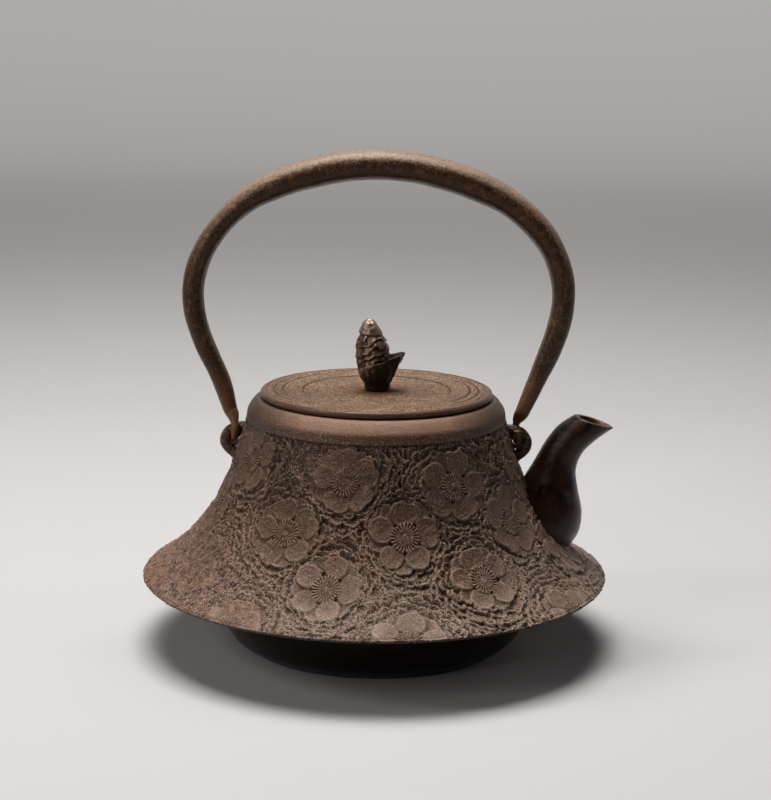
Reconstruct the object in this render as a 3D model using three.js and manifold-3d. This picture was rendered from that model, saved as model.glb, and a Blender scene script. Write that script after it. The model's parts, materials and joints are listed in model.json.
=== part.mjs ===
// Cast-iron kettle with a flared skirt, a loose lid with a riveted knob, and a hollow folded bail.
// Millimetres, +Z up. The origin is the centre of the flat foot, the spout points to +X and the front is -Y.

import * as THREE from "three";
import { mergeVertices } from "three/addons/utils/BufferGeometryUtils.js";
import Module from "manifold-3d";

const wasm = await Module();
wasm.setup();

// Driving dimensions
const GAP = 0.3; // between pieces that touch or are cast together
const CASTING = 3.2; // thickness of the body and the pan
const SKIRT_RADIUS = 100;
const SKIRT_Z = 30.8;
const FOOT_RADIUS = 56;
const JOINT_Z = 38; // where the pan meets the underside of the skirt
const JOINT_RADIUS = 71.6;
const JOINT_LAP = 2; // height of the step that centres the pan
const SHOULDER_RADIUS = 50.2;
const SHOULDER_Z = 106.7;
const MOUTH_RADIUS = 43.3;
const BAND_FOOT_Z = 97.8; // end of the plain band, where the relief starts
const GROUND = 0.8; // depth of the relief's ground under the plain wall
const BLOSSOM_RADIUS = 15.2;
const BLOSSOM_PITCH = 45; // degrees round the body

const LID_RADIUS = 49.6;
const LID_THICKNESS = 3;
const LID_Z = SHOULDER_Z + GAP;
const LID_TOP = LID_Z + LID_THICKNESS;
const LID_PLATE = 2.6; // plate inside the rim bead
const LID_FIELD_RADIUS = 31.4; // edge of the slightly sunken middle
const LID_GROOVES = [39.8, 43.4];
const FLANGE_RADIUS = 42.6; // ring under the lid that drops into the mouth
const FLANGE_WALL = 2.2;
const FLANGE_DEPTH = 6;

const RIVET_RADIUS = 1.8;
const RIVET_HOLE = 2.1;
const RIVET_HEAD_RADIUS = 3.8;
const RIVET_HEAD_HEIGHT = 1.7;
const RIVET_TOP = 117; // end of the shank inside the knob
const WASHER_RADIUS = 6.5;
const WASHER_THICKNESS = 1;
const KNOB_FOOT_Z = LID_TOP - 0.5 + GAP;

const SPOUT_WALL = 2.4;
const LUG_ROD = 2.15; // radius of the loop's rod
const PIVOT_Z = 92.6; // axis of the bail's swing, through the top arms of both lugs
const HOOK_X = 60.15;
const HOOK_BEND = 4.4; // radius of the hook's bend round the lug
const HOOK_WIRE = [2.75, 2.2, 1.7, 1.5, 1.45, 1.45]; // radius, from the end of the bail to the tip
const HOOK_JOIN_Z = 100;
const BAIL_SHEET = 1.4; // thickness of the folded sheet
const BAIL_SEAM = 0.4; // half the width of the open seam under the bail

// Facets
const ROUND = 48;
const GROUND_ROWS = 9;
const SPOUT_SIDES = 22;
const SPOUT_STEPS = 12;
const BAIL_STEPS = 33;
const ROD_SIDES = 10;
const PETAL_CORNERS = [-15, 15, 36]; // degrees from a petal's middle; the last lies between two petals

// Outline of the wall from the shoulder under the lid down to the skirt's rim, as radius and height
const WALL = [
  [SHOULDER_RADIUS, SHOULDER_Z],
  [51.6, 106],
  [53.2, 104.2],
  [54.5, 102.2],
  [55, 100.6],
  [55.4, 98],
  [58.2, 88],
  [62.2, 76],
  [68, 63],
  [76.7, 50],
  [87.5, 39],
  [SKIRT_RADIUS, SKIRT_Z],
];
const wallCurve = planeCurve(WALL);
const BAND_END = 5; // point of the outline at the foot of the band

// Plum blossoms in three rows, as azimuth from the front towards the spout, in degrees, and height.
// Each row goes on round the back at the same pitch.
const BLOSSOM_ROWS = [
  [
    [-60.2, 86],
    [-11.7, 83.2],
    [31.9, 80.3],
  ],
  [
    [-31.7, 62.1],
    [10.2, 63],
    [55.7, 62.9],
  ],
  [
    [-59.3, 43.3],
    [-13.7, 44.9],
    [33.3, 46.1],
  ],
];

// Hollow of the wall, from under the mouth's edge down to the joint with the pan
const hollowCurve = new THREE.SplineCurve(
  [
    [45.6, 102.6],
    [50.6, 99.4],
    [54.6, 88],
    [58.7, 76],
    [64.4, 63],
    [70.2, 53],
    [71.2, 47],
    [JOINT_RADIUS - CASTING, JOINT_Z],
  ].map(([r, z]) => new THREE.Vector2(r, z)),
);

// Underside of the skirt, from the rim inwards to the joint with the pan
const undersideCurve = new THREE.SplineCurve(
  [
    [SKIRT_RADIUS - 1.6, SKIRT_Z - 1.6],
    [91, 33.2],
    [82, 39.8],
    [75.4, 44.6],
    [JOINT_RADIUS + 0.2, 44.4],
    [JOINT_RADIUS, JOINT_Z],
  ].map(([r, z]) => new THREE.Vector2(r, z)),
);

// Outside and inside of the pan, from the flat foot up to the joint
const panOutside = new THREE.SplineCurve(
  [
    [FOOT_RADIUS, 0],
    [62.4, 5.2],
    [67, 14],
    [69.6, 24],
    [JOINT_RADIUS, JOINT_Z - JOINT_LAP - GAP],
  ].map(([r, z]) => new THREE.Vector2(r, z)),
);
const panInside = new THREE.SplineCurve(
  [
    [54.6, CASTING],
    [60, 8],
    [64, 16],
    [66.5, 25],
    [JOINT_RADIUS - CASTING, JOINT_Z - GAP],
  ].map(([r, z]) => new THREE.Vector2(r, z)),
);

// Spout from its belly to its mouth: points of the back and the front in the X-Z plane, and half the width
const SPOUT_BACK = [
  [63.6, 71.5],
  [67, 77.5],
  [69.7, 82.6],
  [73.2, 89],
  [78, 95],
  [84.6, 99.6],
];
const SPOUT_FRONT = [
  [89, 57.5],
  [86.9, 68],
  [86, 76],
  [88.4, 83.2],
  [94, 89],
  [101.2, 94.4],
];
const SPOUT_WIDTH = [14.4, 11, 9.2, 8.5, 8.2, 7.6];

// Its root spreads over the wall outside, and narrows inside so that the bore opens above the skirt
const spoutOutline = spoutCurves([56, 52], [59, 62], [80, 38], [87.4, 47.5], 15.5, 16.2);
const spoutInside = spoutCurves([51, 66], [58.5, 68.5], [61, 46], [76, 50], 10, 12.5);

// Bail outlines in the X-Z plane, from the left end over the top to the right end, with half the width across
const bailOuter = planeCurve([
  [-65.4, HOOK_JOIN_Z],
  [-71, 114.2],
  [-77.6, 128],
  [-82, 142.5],
  [-81.8, 157.6],
  [-76.5, 171.8],
  [-67.8, 184.3],
  [-56.7, 194.7],
  [-43.6, 202.4],
  [-29.3, 207.5],
  [-14.4, 210.6],
  [0.8, 211.6],
  [15.9, 210.3],
  [30.8, 207],
  [45.1, 201.8],
  [58.3, 194.3],
  [69.8, 184.3],
  [78.3, 171.8],
  [82.9, 157.3],
  [82.7, 142.1],
  [78.5, 127.5],
  [72.1, 113.7],
  [65.4, HOOK_JOIN_Z],
]);
const bailInner = planeCurve([
  [-59.2, HOOK_JOIN_Z],
  [-62.1, 113.3],
  [-67.4, 125.8],
  [-72, 138.6],
  [-73.2, 152.1],
  [-69.7, 165.1],
  [-62.4, 176.5],
  [-52.2, 185.4],
  [-39.9, 191.1],
  [-26.9, 195.1],
  [-13.6, 197.8],
  [0, 198.8],
  [13.5, 197.8],
  [26.8, 194.8],
  [39.7, 190.5],
  [52, 184.8],
  [62.4, 176.2],
  [70.2, 165.1],
  [73.6, 152],
  [72, 138.6],
  [67.9, 125.7],
  [63.4, 112.8],
  [58.9, HOOK_JOIN_Z],
]);
const bailWidth = planeCurve([
  [0, 3.1],
  [2, 5.4],
  [5, 7.2],
  [7, 7.8],
  [9, 7.2],
  [12, 5.4],
  [14, 3.1],
]);

// Half of the bail's section, as fractions of its depth and width: arched back, ridged flanks, narrow belly
const BAIL_HALF_SECTION = [
  [-0.86, 0.58],
  [-0.25, 1],
  [0.42, 0.94],
  [0.84, 0.56],
];

// Back, front and width curves of the spout, with two more stations at the root
function spoutCurves(backStart, backRoot, frontStart, frontRoot, widthStart, widthRoot) {
  return {
    back: planeCurve([backStart, backRoot, ...SPOUT_BACK]),
    front: planeCurve([frontStart, frontRoot, ...SPOUT_FRONT]),
    width: planeCurve([widthStart, widthRoot, ...SPOUT_WIDTH].map((w, i) => [i, w])),
  };
}

function planeCurve(points) {
  return new THREE.SplineCurve(points.map(([x, y]) => new THREE.Vector2(x, y)));
}

// Closed mesh as a solid, with its faces turned outwards
function solidOf(geometry) {
  const bare = geometry.index ? geometry.toNonIndexed() : geometry.clone();
  bare.deleteAttribute("normal");
  bare.deleteAttribute("uv");
  const merged = mergeVertices(bare, 1e-4);
  const corners = merged.index.array;
  const position = merged.attributes.position;
  const kept = [];
  const [a, b, c] = [new THREE.Vector3(), new THREE.Vector3(), new THREE.Vector3()];
  let volume = 0;
  for (let i = 0; i < corners.length; i += 3) {
    const [p, q, r] = corners.slice(i, i + 3);
    if (p === q || q === r || r === p) continue;
    kept.push(p, q, r);
    a.fromBufferAttribute(position, p);
    b.fromBufferAttribute(position, q);
    c.fromBufferAttribute(position, r);
    volume += a.dot(b.cross(c));
  }
  if (volume < 0) kept.reverse();
  return new wasm.Manifold(
    new wasm.Mesh({
      numProp: 3,
      vertProperties: position.array,
      triVerts: new Uint32Array(kept),
    }),
  );
}

function geometryOf(solid) {
  const mesh = solid.getMesh();
  const geometry = new THREE.BufferGeometry();
  geometry.setAttribute("position", new THREE.BufferAttribute(mesh.vertProperties, 3));
  geometry.setIndex(new THREE.BufferAttribute(mesh.triVerts, 1));
  geometry.computeVertexNormals();
  return geometry;
}

// Solid of revolution about Z from a closed outline of radius and height
function turned(outline, segments = ROUND) {
  const points = outline.map(([r, z]) => new THREE.Vector2(r, z));
  points.push(points[0].clone());
  return solidOf(new THREE.LatheGeometry(points, segments).rotateX(Math.PI / 2));
}

function sampled(curve, count) {
  return curve.getPoints(count).map((p) => [p.x, p.y]);
}

// Circular arc in an outline of radius and height, with angles in degrees from the radius axis
function arc(r, z, radius, from, to, count) {
  return Array.from({ length: count + 1 }, (_, i) => {
    const angle = THREE.MathUtils.degToRad(from + ((to - from) * i) / count);
    return [r + radius * Math.cos(angle), z + radius * Math.sin(angle)];
  });
}

// Solid through a row of matching rings of points, with both ends filled as the flat contour is
function loft(rings, contour) {
  const count = contour.length;
  const positions = rings.flat().flatMap((p) => [p.x, p.y, p.z]);
  const index = [];
  for (let i = 0; i + 1 < rings.length; i++) {
    for (let j = 0; j < count; j++) {
      const next = (j + 1) % count;
      const [a, b] = [i * count + j, i * count + next];
      index.push(a, b, b + count, a, b + count, a + count);
    }
  }
  const turn = THREE.ShapeUtils.isClockWise(contour) ? -1 : 1;
  for (const face of THREE.ShapeUtils.triangulateShape(contour, [])) {
    const [p, q, r] = face.map((k) => contour[k]);
    const same = turn * (q.clone().sub(p).cross(r.clone().sub(p))) > 0;
    const [a, b, c] = same ? face : [face[0], face[2], face[1]];
    const last = (rings.length - 1) * count;
    index.push(c, b, a, last + a, last + b, last + c);
  }
  const geometry = new THREE.BufferGeometry();
  geometry.setAttribute("position", new THREE.Float32BufferAttribute(positions, 3));
  geometry.setIndex(index);
  return solidOf(geometry);
}

// Rings between two outlines in the X-Z plane, each a flat section of the given depth and width
function ringsBetween(outer, inner, width, steps, section, inset = 0) {
  return Array.from({ length: steps + 1 }, (_, i) => {
    const t = i / steps;
    const [o, n] = [outer.getPoint(t), inner.getPoint(t)];
    const middle = o.clone().add(n).multiplyScalar(0.5);
    const depth = o.clone().sub(n).multiplyScalar(0.5);
    const across = depth.clone().normalize();
    return section(depth.length() - inset, width.getPoint(t).y - inset).map(
      ([d, w]) => new THREE.Vector3(middle.x + across.x * d, w, middle.y + across.y * d),
    );
  });
}

function ellipse(sides) {
  return (depth, width) =>
    Array.from({ length: sides }, (_, i) => {
      const angle = (2 * Math.PI * i) / sides;
      return [depth * Math.cos(angle), width * Math.sin(angle)];
    });
}

function flat(points) {
  return points.map(([x, y]) => new THREE.Vector2(x, y));
}

// Rod of changing radius along a path that lies near the plane square to the side axis
function rod(path, radiusAt, side, steps, sides) {
  const rings = Array.from({ length: steps + 1 }, (_, i) => {
    const t = i / steps;
    const centre = path.getPointAt(t);
    const along = path.getTangentAt(t);
    const normal = along.clone().cross(side).normalize();
    const across = normal.clone().cross(along).normalize();
    return Array.from({ length: sides }, (_, j) => {
      const angle = (2 * Math.PI * j) / sides;
      return centre
        .clone()
        .addScaledVector(across, radiusAt(t) * Math.cos(angle))
        .addScaledVector(normal, radiusAt(t) * Math.sin(angle));
    });
  });
  return loft(rings, flat(ellipse(sides)(1, 1)));
}

function path3(points) {
  return new THREE.CatmullRomCurve3(points.map(([x, y, z]) => new THREE.Vector3(x, y, z)));
}

function union(solids) {
  return solids.reduce((whole, next) => whole.add(next));
}

// Rows of the wall's outline: the plain band, the ground of the relief sunk along its normals, and the rim
function wallOutline() {
  const last = WALL.length - 1;
  const band = sampled(wallCurve, last).slice(0, BAND_END + 1);
  const ground = Array.from({ length: GROUND_ROWS }, (_, i) => {
    const t = THREE.MathUtils.lerp(BAND_END + 0.05, last - 0.2, i / (GROUND_ROWS - 1)) / last;
    const [point, along] = [wallCurve.getPoint(t), wallCurve.getTangent(t)];
    return [point.x + along.y * GROUND, point.y - along.x * GROUND];
  });
  return [...band, ...ground, [SKIRT_RADIUS, SKIRT_Z]];
}

// Point at an azimuth and a distance along the wall's outline, raised off the plain wall by a height
function onWall(azimuth, run, height) {
  const u = run / wallCurve.getLength();
  const [point, along] = [wallCurve.getPointAt(u), wallCurve.getTangentAt(u)];
  const r = point.x - along.y * height;
  return new THREE.Vector3(r * Math.sin(azimuth), -r * Math.cos(azimuth), point.y + along.x * height);
}

function runAt(level) {
  const steps = 500;
  const step = Array.from({ length: steps }, (_, i) => i).find((i) => wallCurve.getPointAt(i / steps).y <= level);
  return (step / steps) * wallCurve.getLength();
}

// Five round petals on a lower layer that shows between them, round a sunk disc of stamens
function blossom(azimuth, level, turn) {
  const centre = runAt(level);
  const corners = [0, 72, 144, 216, 288].flatMap((petal) => PETAL_CORNERS.map((corner) => petal + corner));
  const ring = (reach, height, betweenReach = reach, betweenHeight = height) =>
    corners.map((corner, j) => {
      const angle = turn + THREE.MathUtils.degToRad(corner);
      const between = j % PETAL_CORNERS.length === PETAL_CORNERS.length - 1;
      const distance = BLOSSOM_RADIUS * (between ? betweenReach : reach);
      const run = centre - distance * Math.sin(angle);
      const across = (distance * Math.cos(angle)) / wallCurve.getPointAt(run / wallCurve.getLength()).x;
      return onWall(azimuth + across, run, between ? betweenHeight : height);
    });
  const under = -2 * GROUND;
  const rings = [ring(0.4, under), ring(0.96, under, 0.82), ring(0.96, 0.1, 0.82, 0.1 - GROUND), ring(0.42, -0.2)];
  return loft(rings, flat(ellipse(corners.length)(1, 1)));
}

// Blossoms all round the body, cut off at the band and round the spout's root
function blossoms() {
  const solids = BLOSSOM_ROWS.flatMap((row, i) =>
    Array.from({ length: 360 / BLOSSOM_PITCH }, (_, k) => {
      const [azimuth, level] = row[Math.min(k, row.length - 1)];
      const past = Math.max(0, k - row.length + 1) * BLOSSOM_PITCH;
      const turn = Math.PI / 2 + 0.3 * Math.sin(2.4 * k + i);
      return blossom(THREE.MathUtils.degToRad(azimuth + past), level, turn);
    }),
  );
  const root = loft(spoutRings(spoutOutline, -GAP), flat(ellipse(SPOUT_SIDES)(1, 1)));
  return union(solids).trimByPlane([0, 0, -1], -BAND_FOOT_Z).subtract(root);
}

// Everything inside the outer wall, grown by the gap, which trims the spout
function wallFilled() {
  const outline = wallOutline().map(([r, z]) => [r + GAP, z]);
  return turned([[0, SHOULDER_Z], ...outline, [SKIRT_RADIUS + GAP, 0], [0, 0]]);
}

function spoutRings({ back, front, width }, inset) {
  return ringsBetween(back, front, width, SPOUT_STEPS, ellipse(SPOUT_SIDES), inset);
}

// The bore runs on past the mouth, square to it, so that it cuts the lip open
function spoutBore() {
  const rings = spoutRings(spoutInside, SPOUT_WALL);
  const [mouthBack, mouthFront] = [SPOUT_BACK.at(-1), SPOUT_FRONT.at(-1)];
  const [dx, dz] = [mouthFront[0] - mouthBack[0], mouthFront[1] - mouthBack[1]];
  const out = new THREE.Vector3(-dz, 0, dx).setLength(2);
  rings.push(rings.at(-1).map((p) => p.clone().add(out)));
  return loft(rings, flat(ellipse(SPOUT_SIDES)(1, 1)));
}

function spout() {
  const outside = loft(spoutRings(spoutOutline, 0), flat(ellipse(SPOUT_SIDES)(1, 1)));
  return outside.subtract(wallFilled()).subtract(spoutBore());
}

// Loop of round rod in the X-Z plane, whose two ends are cast into the wall
function lug(side, radius = LUG_ROD) {
  const path = path3(
    [
      [55, 93.2],
      [58.2, 93],
      [61.8, 91.9],
      [64.2, 89],
      [64.4, 86.2],
      [62.6, 83.3],
      [59.2, 81.2],
    ].map(([x, z]) => [side * x, 0, z]),
  );
  return rod(path, () => radius, new THREE.Vector3(0, 1, 0), 14, ROD_SIDES);
}

function bodyShell() {
  const outline = [
    ...wallOutline(),
    [SKIRT_RADIUS - 0.3, SKIRT_Z - 1.2],
    ...sampled(undersideCurve, 5),
    [JOINT_RADIUS, JOINT_Z - JOINT_LAP],
    [JOINT_RADIUS - CASTING / 2 + GAP / 2, JOINT_Z - JOINT_LAP],
    [JOINT_RADIUS - CASTING / 2 + GAP / 2, JOINT_Z],
    ...sampled(hollowCurve, 8).reverse(),
    [MOUTH_RADIUS, 103.4],
    [MOUTH_RADIUS, SHOULDER_Z],
  ];
  const sockets = union([-1, 1].map((side) => lug(side, LUG_ROD + GAP)));
  return turned(outline).add(blossoms()).subtract(spoutBore()).subtract(sockets);
}

function basePan() {
  const outline = [
    [0, 0],
    ...sampled(panOutside, 5),
    [JOINT_RADIUS - CASTING / 2 - GAP / 2, JOINT_Z - JOINT_LAP - GAP],
    [JOINT_RADIUS - CASTING / 2 - GAP / 2, JOINT_Z - GAP],
    ...sampled(panInside, 4).reverse(),
    [0, CASTING],
  ];
  return turned(outline);
}

// Flat disc with a rounded bead, two ring grooves, a sunken middle and a ring that seats it in the mouth
function lid() {
  const bead = LID_THICKNESS / 2;
  const groove = (r) => [
    [r - 0.4, LID_TOP],
    [r, LID_TOP - 0.4],
    [r + 0.4, LID_TOP],
  ];
  const inner = FLANGE_RADIUS - FLANGE_WALL;
  const outline = [
    [RIVET_HOLE, LID_TOP - 0.5],
    [LID_FIELD_RADIUS, LID_TOP - 0.5],
    [LID_FIELD_RADIUS + 0.5, LID_TOP],
    ...LID_GROOVES.flatMap(groove),
    ...arc(LID_RADIUS - bead, LID_TOP - bead, bead, 90, -90, 3),
    [FLANGE_RADIUS, LID_Z],
    [FLANGE_RADIUS, LID_Z - FLANGE_DEPTH],
    [inner, LID_Z - FLANGE_DEPTH],
    [inner, LID_TOP - LID_PLATE - 0.5],
    [RIVET_HOLE, LID_TOP - LID_PLATE - 0.5],
  ];
  return turned(outline);
}

// Shank with a peened head under the lid; its top end is held in the knob
function knobRivet() {
  const under = LID_TOP - LID_PLATE - 0.5 - WASHER_THICKNESS - 2 * GAP;
  const outline = [
    [0, under - RIVET_HEAD_HEIGHT],
    [RIVET_HEAD_RADIUS * 0.6, under - RIVET_HEAD_HEIGHT + 0.25],
    [RIVET_HEAD_RADIUS, under - 0.5],
    [RIVET_HEAD_RADIUS, under],
    [RIVET_RADIUS, under],
    [RIVET_RADIUS, RIVET_TOP],
    [0, RIVET_TOP],
  ];
  return turned(outline, 20);
}

function knobWasher() {
  const top = LID_TOP - LID_PLATE - 0.5 - GAP;
  const outline = [
    [RIVET_HOLE, top - WASHER_THICKNESS],
    [WASHER_RADIUS - 0.3, top - WASHER_THICKNESS],
    [WASHER_RADIUS, top - WASHER_THICKNESS + 0.3],
    [WASHER_RADIUS, top],
    [RIVET_HOLE, top],
  ];
  return turned(outline, 24);
}

// Cup that rises from the knob's stem to a pointed lip on the +X side.
// Each row is height, middle, radius, and how far the lip runs out and rises.
const CUP = [
  [KNOB_FOOT_Z, 0.3, 5.2, 0, 0],
  [112.4, 0.2, 5.7, 0.2, 0],
  [116, -0.2, 6.9, 1, 0.1],
  [119.6, -0.4, 7.7, 2.2, 0.6],
  [123.6, -0.6, 8.1, 4.4, 2.1],
  [122.4, -0.6, 6.7, 3.2, 1.6],
];

// Bud in the cup, as height, middle and radius: folds that are steep below, and a round tip
const BUD = [
  [112, -0.3, 4.5],
  [116, -0.6, 6],
  [121, -1.1, 6.7],
  [121.6, -1.2, 7.1],
  [124.8, -1.6, 6.5],
  [125.4, -1.6, 7.1],
  [129, -2, 6.1],
  [129.6, -2.1, 6.6],
  [133.3, -2.7, 4.9],
  [134, -2.8, 5.2],
  [136.5, -3.1, 4.1],
  [138.6, -3.3, 2.8],
  [139.8, -3.4, 1.4],
];
const BUD_SLANT = 0.25; // the folds rise towards +X
const BUD_WAVE = 0.7; // and go up and down round the bud

function knobCup(sides) {
  const rings = CUP.map(([z, middle, radius, point, rise]) =>
    Array.from({ length: sides }, (_, i) => {
      const angle = (2 * Math.PI * i) / sides;
      const lip = Math.max(0, Math.cos(angle)) ** 3;
      const r = radius + point * lip;
      return new THREE.Vector3(middle + r * Math.cos(angle), r * Math.sin(angle), z + rise * lip);
    }),
  );
  return loft(rings, flat(ellipse(sides)(1, 1)));
}

function knobBud(sides) {
  const rings = BUD.map(([z, middle, radius], row) =>
    Array.from({ length: sides }, (_, i) => {
      const angle = (2 * Math.PI * i) / sides;
      const [x, y] = [radius * Math.cos(angle), radius * Math.sin(angle)];
      const wave = BUD_WAVE * Math.sin(2 * angle + Math.floor(row / 2));
      const folded = z > 120 && z < 132;
      return new THREE.Vector3(middle + x, y, folded ? z + BUD_SLANT * x + wave : z);
    }),
  );
  return loft(rings, flat(ellipse(sides)(1, 1)));
}

// Cast knob, hollow where the rivet's shank goes up into it
function knob() {
  const shank = new THREE.CylinderGeometry(RIVET_HOLE, RIVET_HOLE, 20, 20).rotateX(Math.PI / 2);
  shank.translate(0, 0, RIVET_TOP + GAP - 10);
  return knobCup(16).add(knobBud(14)).subtract(solidOf(shank));
}

// Sheet folded into a tube, open along a seam under its whole length
function bail() {
  const profile = (depth, width) => {
    const half = [[-1, 0], ...BAIL_HALF_SECTION].map(([d, w]) => [d * depth, w * width]);
    half[0][1] = BAIL_SEAM;
    const mirrored = half.map(([d, w]) => [d, -w]).reverse();
    return [...half, [depth, 0], ...mirrored];
  };
  const section = (depth, width) => [
    ...profile(depth, width),
    ...profile(depth - BAIL_SHEET, width - BAIL_SHEET).reverse(),
  ];
  return loft(ringsBetween(bailOuter, bailInner, bailWidth, BAIL_STEPS, section), flat(section(6, 7)));
}

// Forged hook: a tongue held in the bail's end, a tapering shank and a bend that wraps the lug's top arm.
// It passes the arm on its own side, front for -1 and back for +1, and enters the loop from there.
function bailHook(side, face) {
  const bend = Array.from({ length: 6 }, (_, i) => {
    const angle = THREE.MathUtils.degToRad(i * 38);
    const y = face * HOOK_BEND * Math.cos(angle);
    return [side * HOOK_X, y, PIVOT_Z - HOOK_BEND * Math.sin(angle)];
  });
  const path = path3([
    [side * 62.3, 0, HOOK_JOIN_Z + 1],
    [side * 61.2, face * 1.4, 98],
    [side * 60.4, face * 3.9, 95.3],
    ...bend,
  ]);
  const wire = planeCurve(HOOK_WIRE.map((radius, i) => [i, radius]));
  const radiusAt = (t) => wire.getPoint(Math.min(1, t / 0.75)).y;
  const shank = rod(path, radiusAt, new THREE.Vector3(1, 0, 0), 14, ROD_SIDES);
  const below = new THREE.BoxGeometry(300, 60, 60).translate(0, 0, HOOK_JOIN_Z - GAP - 30);
  const hook = shank.intersect(solidOf(below));
  const tongue = path3([
    [side * 62.1, 0, HOOK_JOIN_Z - 1.5],
    [side * 63, 0, 103],
    [side * 64.3, 0, 106],
  ]);
  return hook.add(rod(tongue, () => 1, new THREE.Vector3(0, 1, 0), 4, 8));
}

function iron(colour, roughness, metalness) {
  return new THREE.MeshStandardMaterial({ color: colour, roughness, metalness });
}

const castIron = () => iron(0x4c3f36, 0.72, 0.75);
const smoothIron = () => iron(0x2a2624, 0.42, 0.8);
const lidIron = () => iron(0x5a4a3c, 0.8, 0.7);
const forgedIron = () => iron(0x4a3c33, 0.5, 0.8);
const bronze = () => iron(0x33261f, 0.35, 0.9);

function named(name, solid, material, origin = [0, 0, 0]) {
  const geometry = geometryOf(solid).translate(...origin.map((v) => -v));
  const mesh = new THREE.Mesh(geometry, material);
  mesh.name = name;
  return mesh;
}

const kettle = new THREE.Group();
kettle.add(
  named("body_shell", bodyShell(), castIron()),
  named("base_pan", basePan(), smoothIron()),
  named("spout", spout(), smoothIron()),
  named("lug_left", lug(-1), castIron()),
  named("lug_right", lug(1), castIron()),
);

const lidOrigin = [0, 0, LID_Z];
const lidGroup = new THREE.Group();
lidGroup.position.set(...lidOrigin);
lidGroup.add(named("lid", lid(), lidIron(), lidOrigin));

const knobGroup = new THREE.Group();
knobGroup.add(
  named("knob", knob(), bronze(), lidOrigin),
  named("knob_rivet", knobRivet(), bronze(), lidOrigin),
  named("knob_washer", knobWasher(), forgedIron(), lidOrigin),
);
lidGroup.add(knobGroup);

const bailOrigin = [0, 0, PIVOT_Z];
const bailGroup = new THREE.Group();
bailGroup.position.set(...bailOrigin);
bailGroup.add(
  named("bail", bail(), forgedIron(), bailOrigin),
  named("bail_hook_left", bailHook(-1, -1), forgedIron(), bailOrigin),
  named("bail_hook_right", bailHook(1, 1), forgedIron(), bailOrigin),
);

const tetsubin = new THREE.Group();
tetsubin.add(kettle, lidGroup, bailGroup);

export default tetsubin;
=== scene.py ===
"""Looks of a cast-iron kettle with a plum-blossom relief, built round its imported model."""

import json
import math

import bmesh
import bpy
import numpy as np
from bpy.props import FloatProperty, FloatVectorProperty, IntProperty, PointerProperty
from mathutils import Matrix, Vector, noise


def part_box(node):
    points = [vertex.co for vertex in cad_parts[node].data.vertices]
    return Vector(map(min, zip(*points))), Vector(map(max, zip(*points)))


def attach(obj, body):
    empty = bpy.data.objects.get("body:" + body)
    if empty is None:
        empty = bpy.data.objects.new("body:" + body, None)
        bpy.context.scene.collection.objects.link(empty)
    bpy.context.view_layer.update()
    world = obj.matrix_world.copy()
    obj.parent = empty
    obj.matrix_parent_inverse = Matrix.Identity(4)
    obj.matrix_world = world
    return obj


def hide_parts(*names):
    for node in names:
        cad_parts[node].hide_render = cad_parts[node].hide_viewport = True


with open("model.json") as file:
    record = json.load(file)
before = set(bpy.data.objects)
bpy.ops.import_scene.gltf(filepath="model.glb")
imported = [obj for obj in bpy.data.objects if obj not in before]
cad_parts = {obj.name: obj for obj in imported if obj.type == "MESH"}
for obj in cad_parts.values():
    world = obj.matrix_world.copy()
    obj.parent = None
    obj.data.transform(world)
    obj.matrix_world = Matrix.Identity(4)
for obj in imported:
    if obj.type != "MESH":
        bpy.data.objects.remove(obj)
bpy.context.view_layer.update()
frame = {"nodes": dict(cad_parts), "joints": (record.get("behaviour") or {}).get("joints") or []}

bl_info = {
    "name": "Cast-iron kettle",
    "version": (1, 0, 0),
    "blender": (4, 5, 0),
    "location": "View3D > Sidebar > Kettle",
    "description": "Builds the looks of a cast-iron kettle round its packed model",
    "category": "Add Mesh",
}

MM = 0.001
PIVOT_Z = next(j for j in frame["joints"] if j["name"] == "bail_swing")["pos_m"][2] / MM


def mm_box(node):
    """Lowest and highest corner of a node of the frame, in millimetres."""
    return [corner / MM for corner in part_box(node)]


SKIRT_RADIUS, SHOULDER_Z = mm_box("body_shell")[1].xz
LID_RADIUS, LID_TOP = mm_box("lid")[1].xz
KNOB_FOOT_Z = mm_box("knob")[0].z

# Outlines in millimetres, as radius and height. The wall's runs from the shoulder down to the skirt's rim
SKIRT_Z = 30.8
WALL_OUTLINE = [
    (50.2, SHOULDER_Z), (51.6, 106), (53.2, 104.2), (54.5, 102.2), (55, 100.6), (55.4, 98),
    (58.2, 88), (62.2, 76), (68, 63), (76.7, 50), (87.5, 39), (SKIRT_RADIUS, SKIRT_Z),
]
WALL_STEP = 0.42
UNDERSIDE_OUTLINE = [(98.4, 29.2), (91, 33.2), (82, 39.8), (75.4, 44.6), (71.8, 44.4), (71.6, 38)]
HOLLOW_OUTLINE = [
    (68.4, 38), (71.2, 47), (70.2, 53), (64.4, 63), (58.7, 76), (54.6, 88), (50.6, 99.4), (45.6, 102.6),
]
MOUTH_RADIUS, MOUTH_Z = 43.3, 103.4
# Lid: height of its face on the shoulder, radius of its sunken middle, and radii of its grooves
LID_Z = LID_TOP - 3
FIELD = 31.4
GROOVES = (39.8, 43.4)
PAN_OUTSIDE = [(56, 0), (62.4, 5.2), (67, 14), (69.6, 24), (71.6, 35.7)]
PAN_STEP = [(70.15, 35.7), (70.15, 37.7)]
CASTING = 3.2
PAN_INSIDE = [(68.4, 37.7), (66.5, 25), (64, 16), (60, 8), (54.6, CASTING)]
# Radius at the axis of a turned piece without a hole
PINHOLE = 0.01

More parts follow.
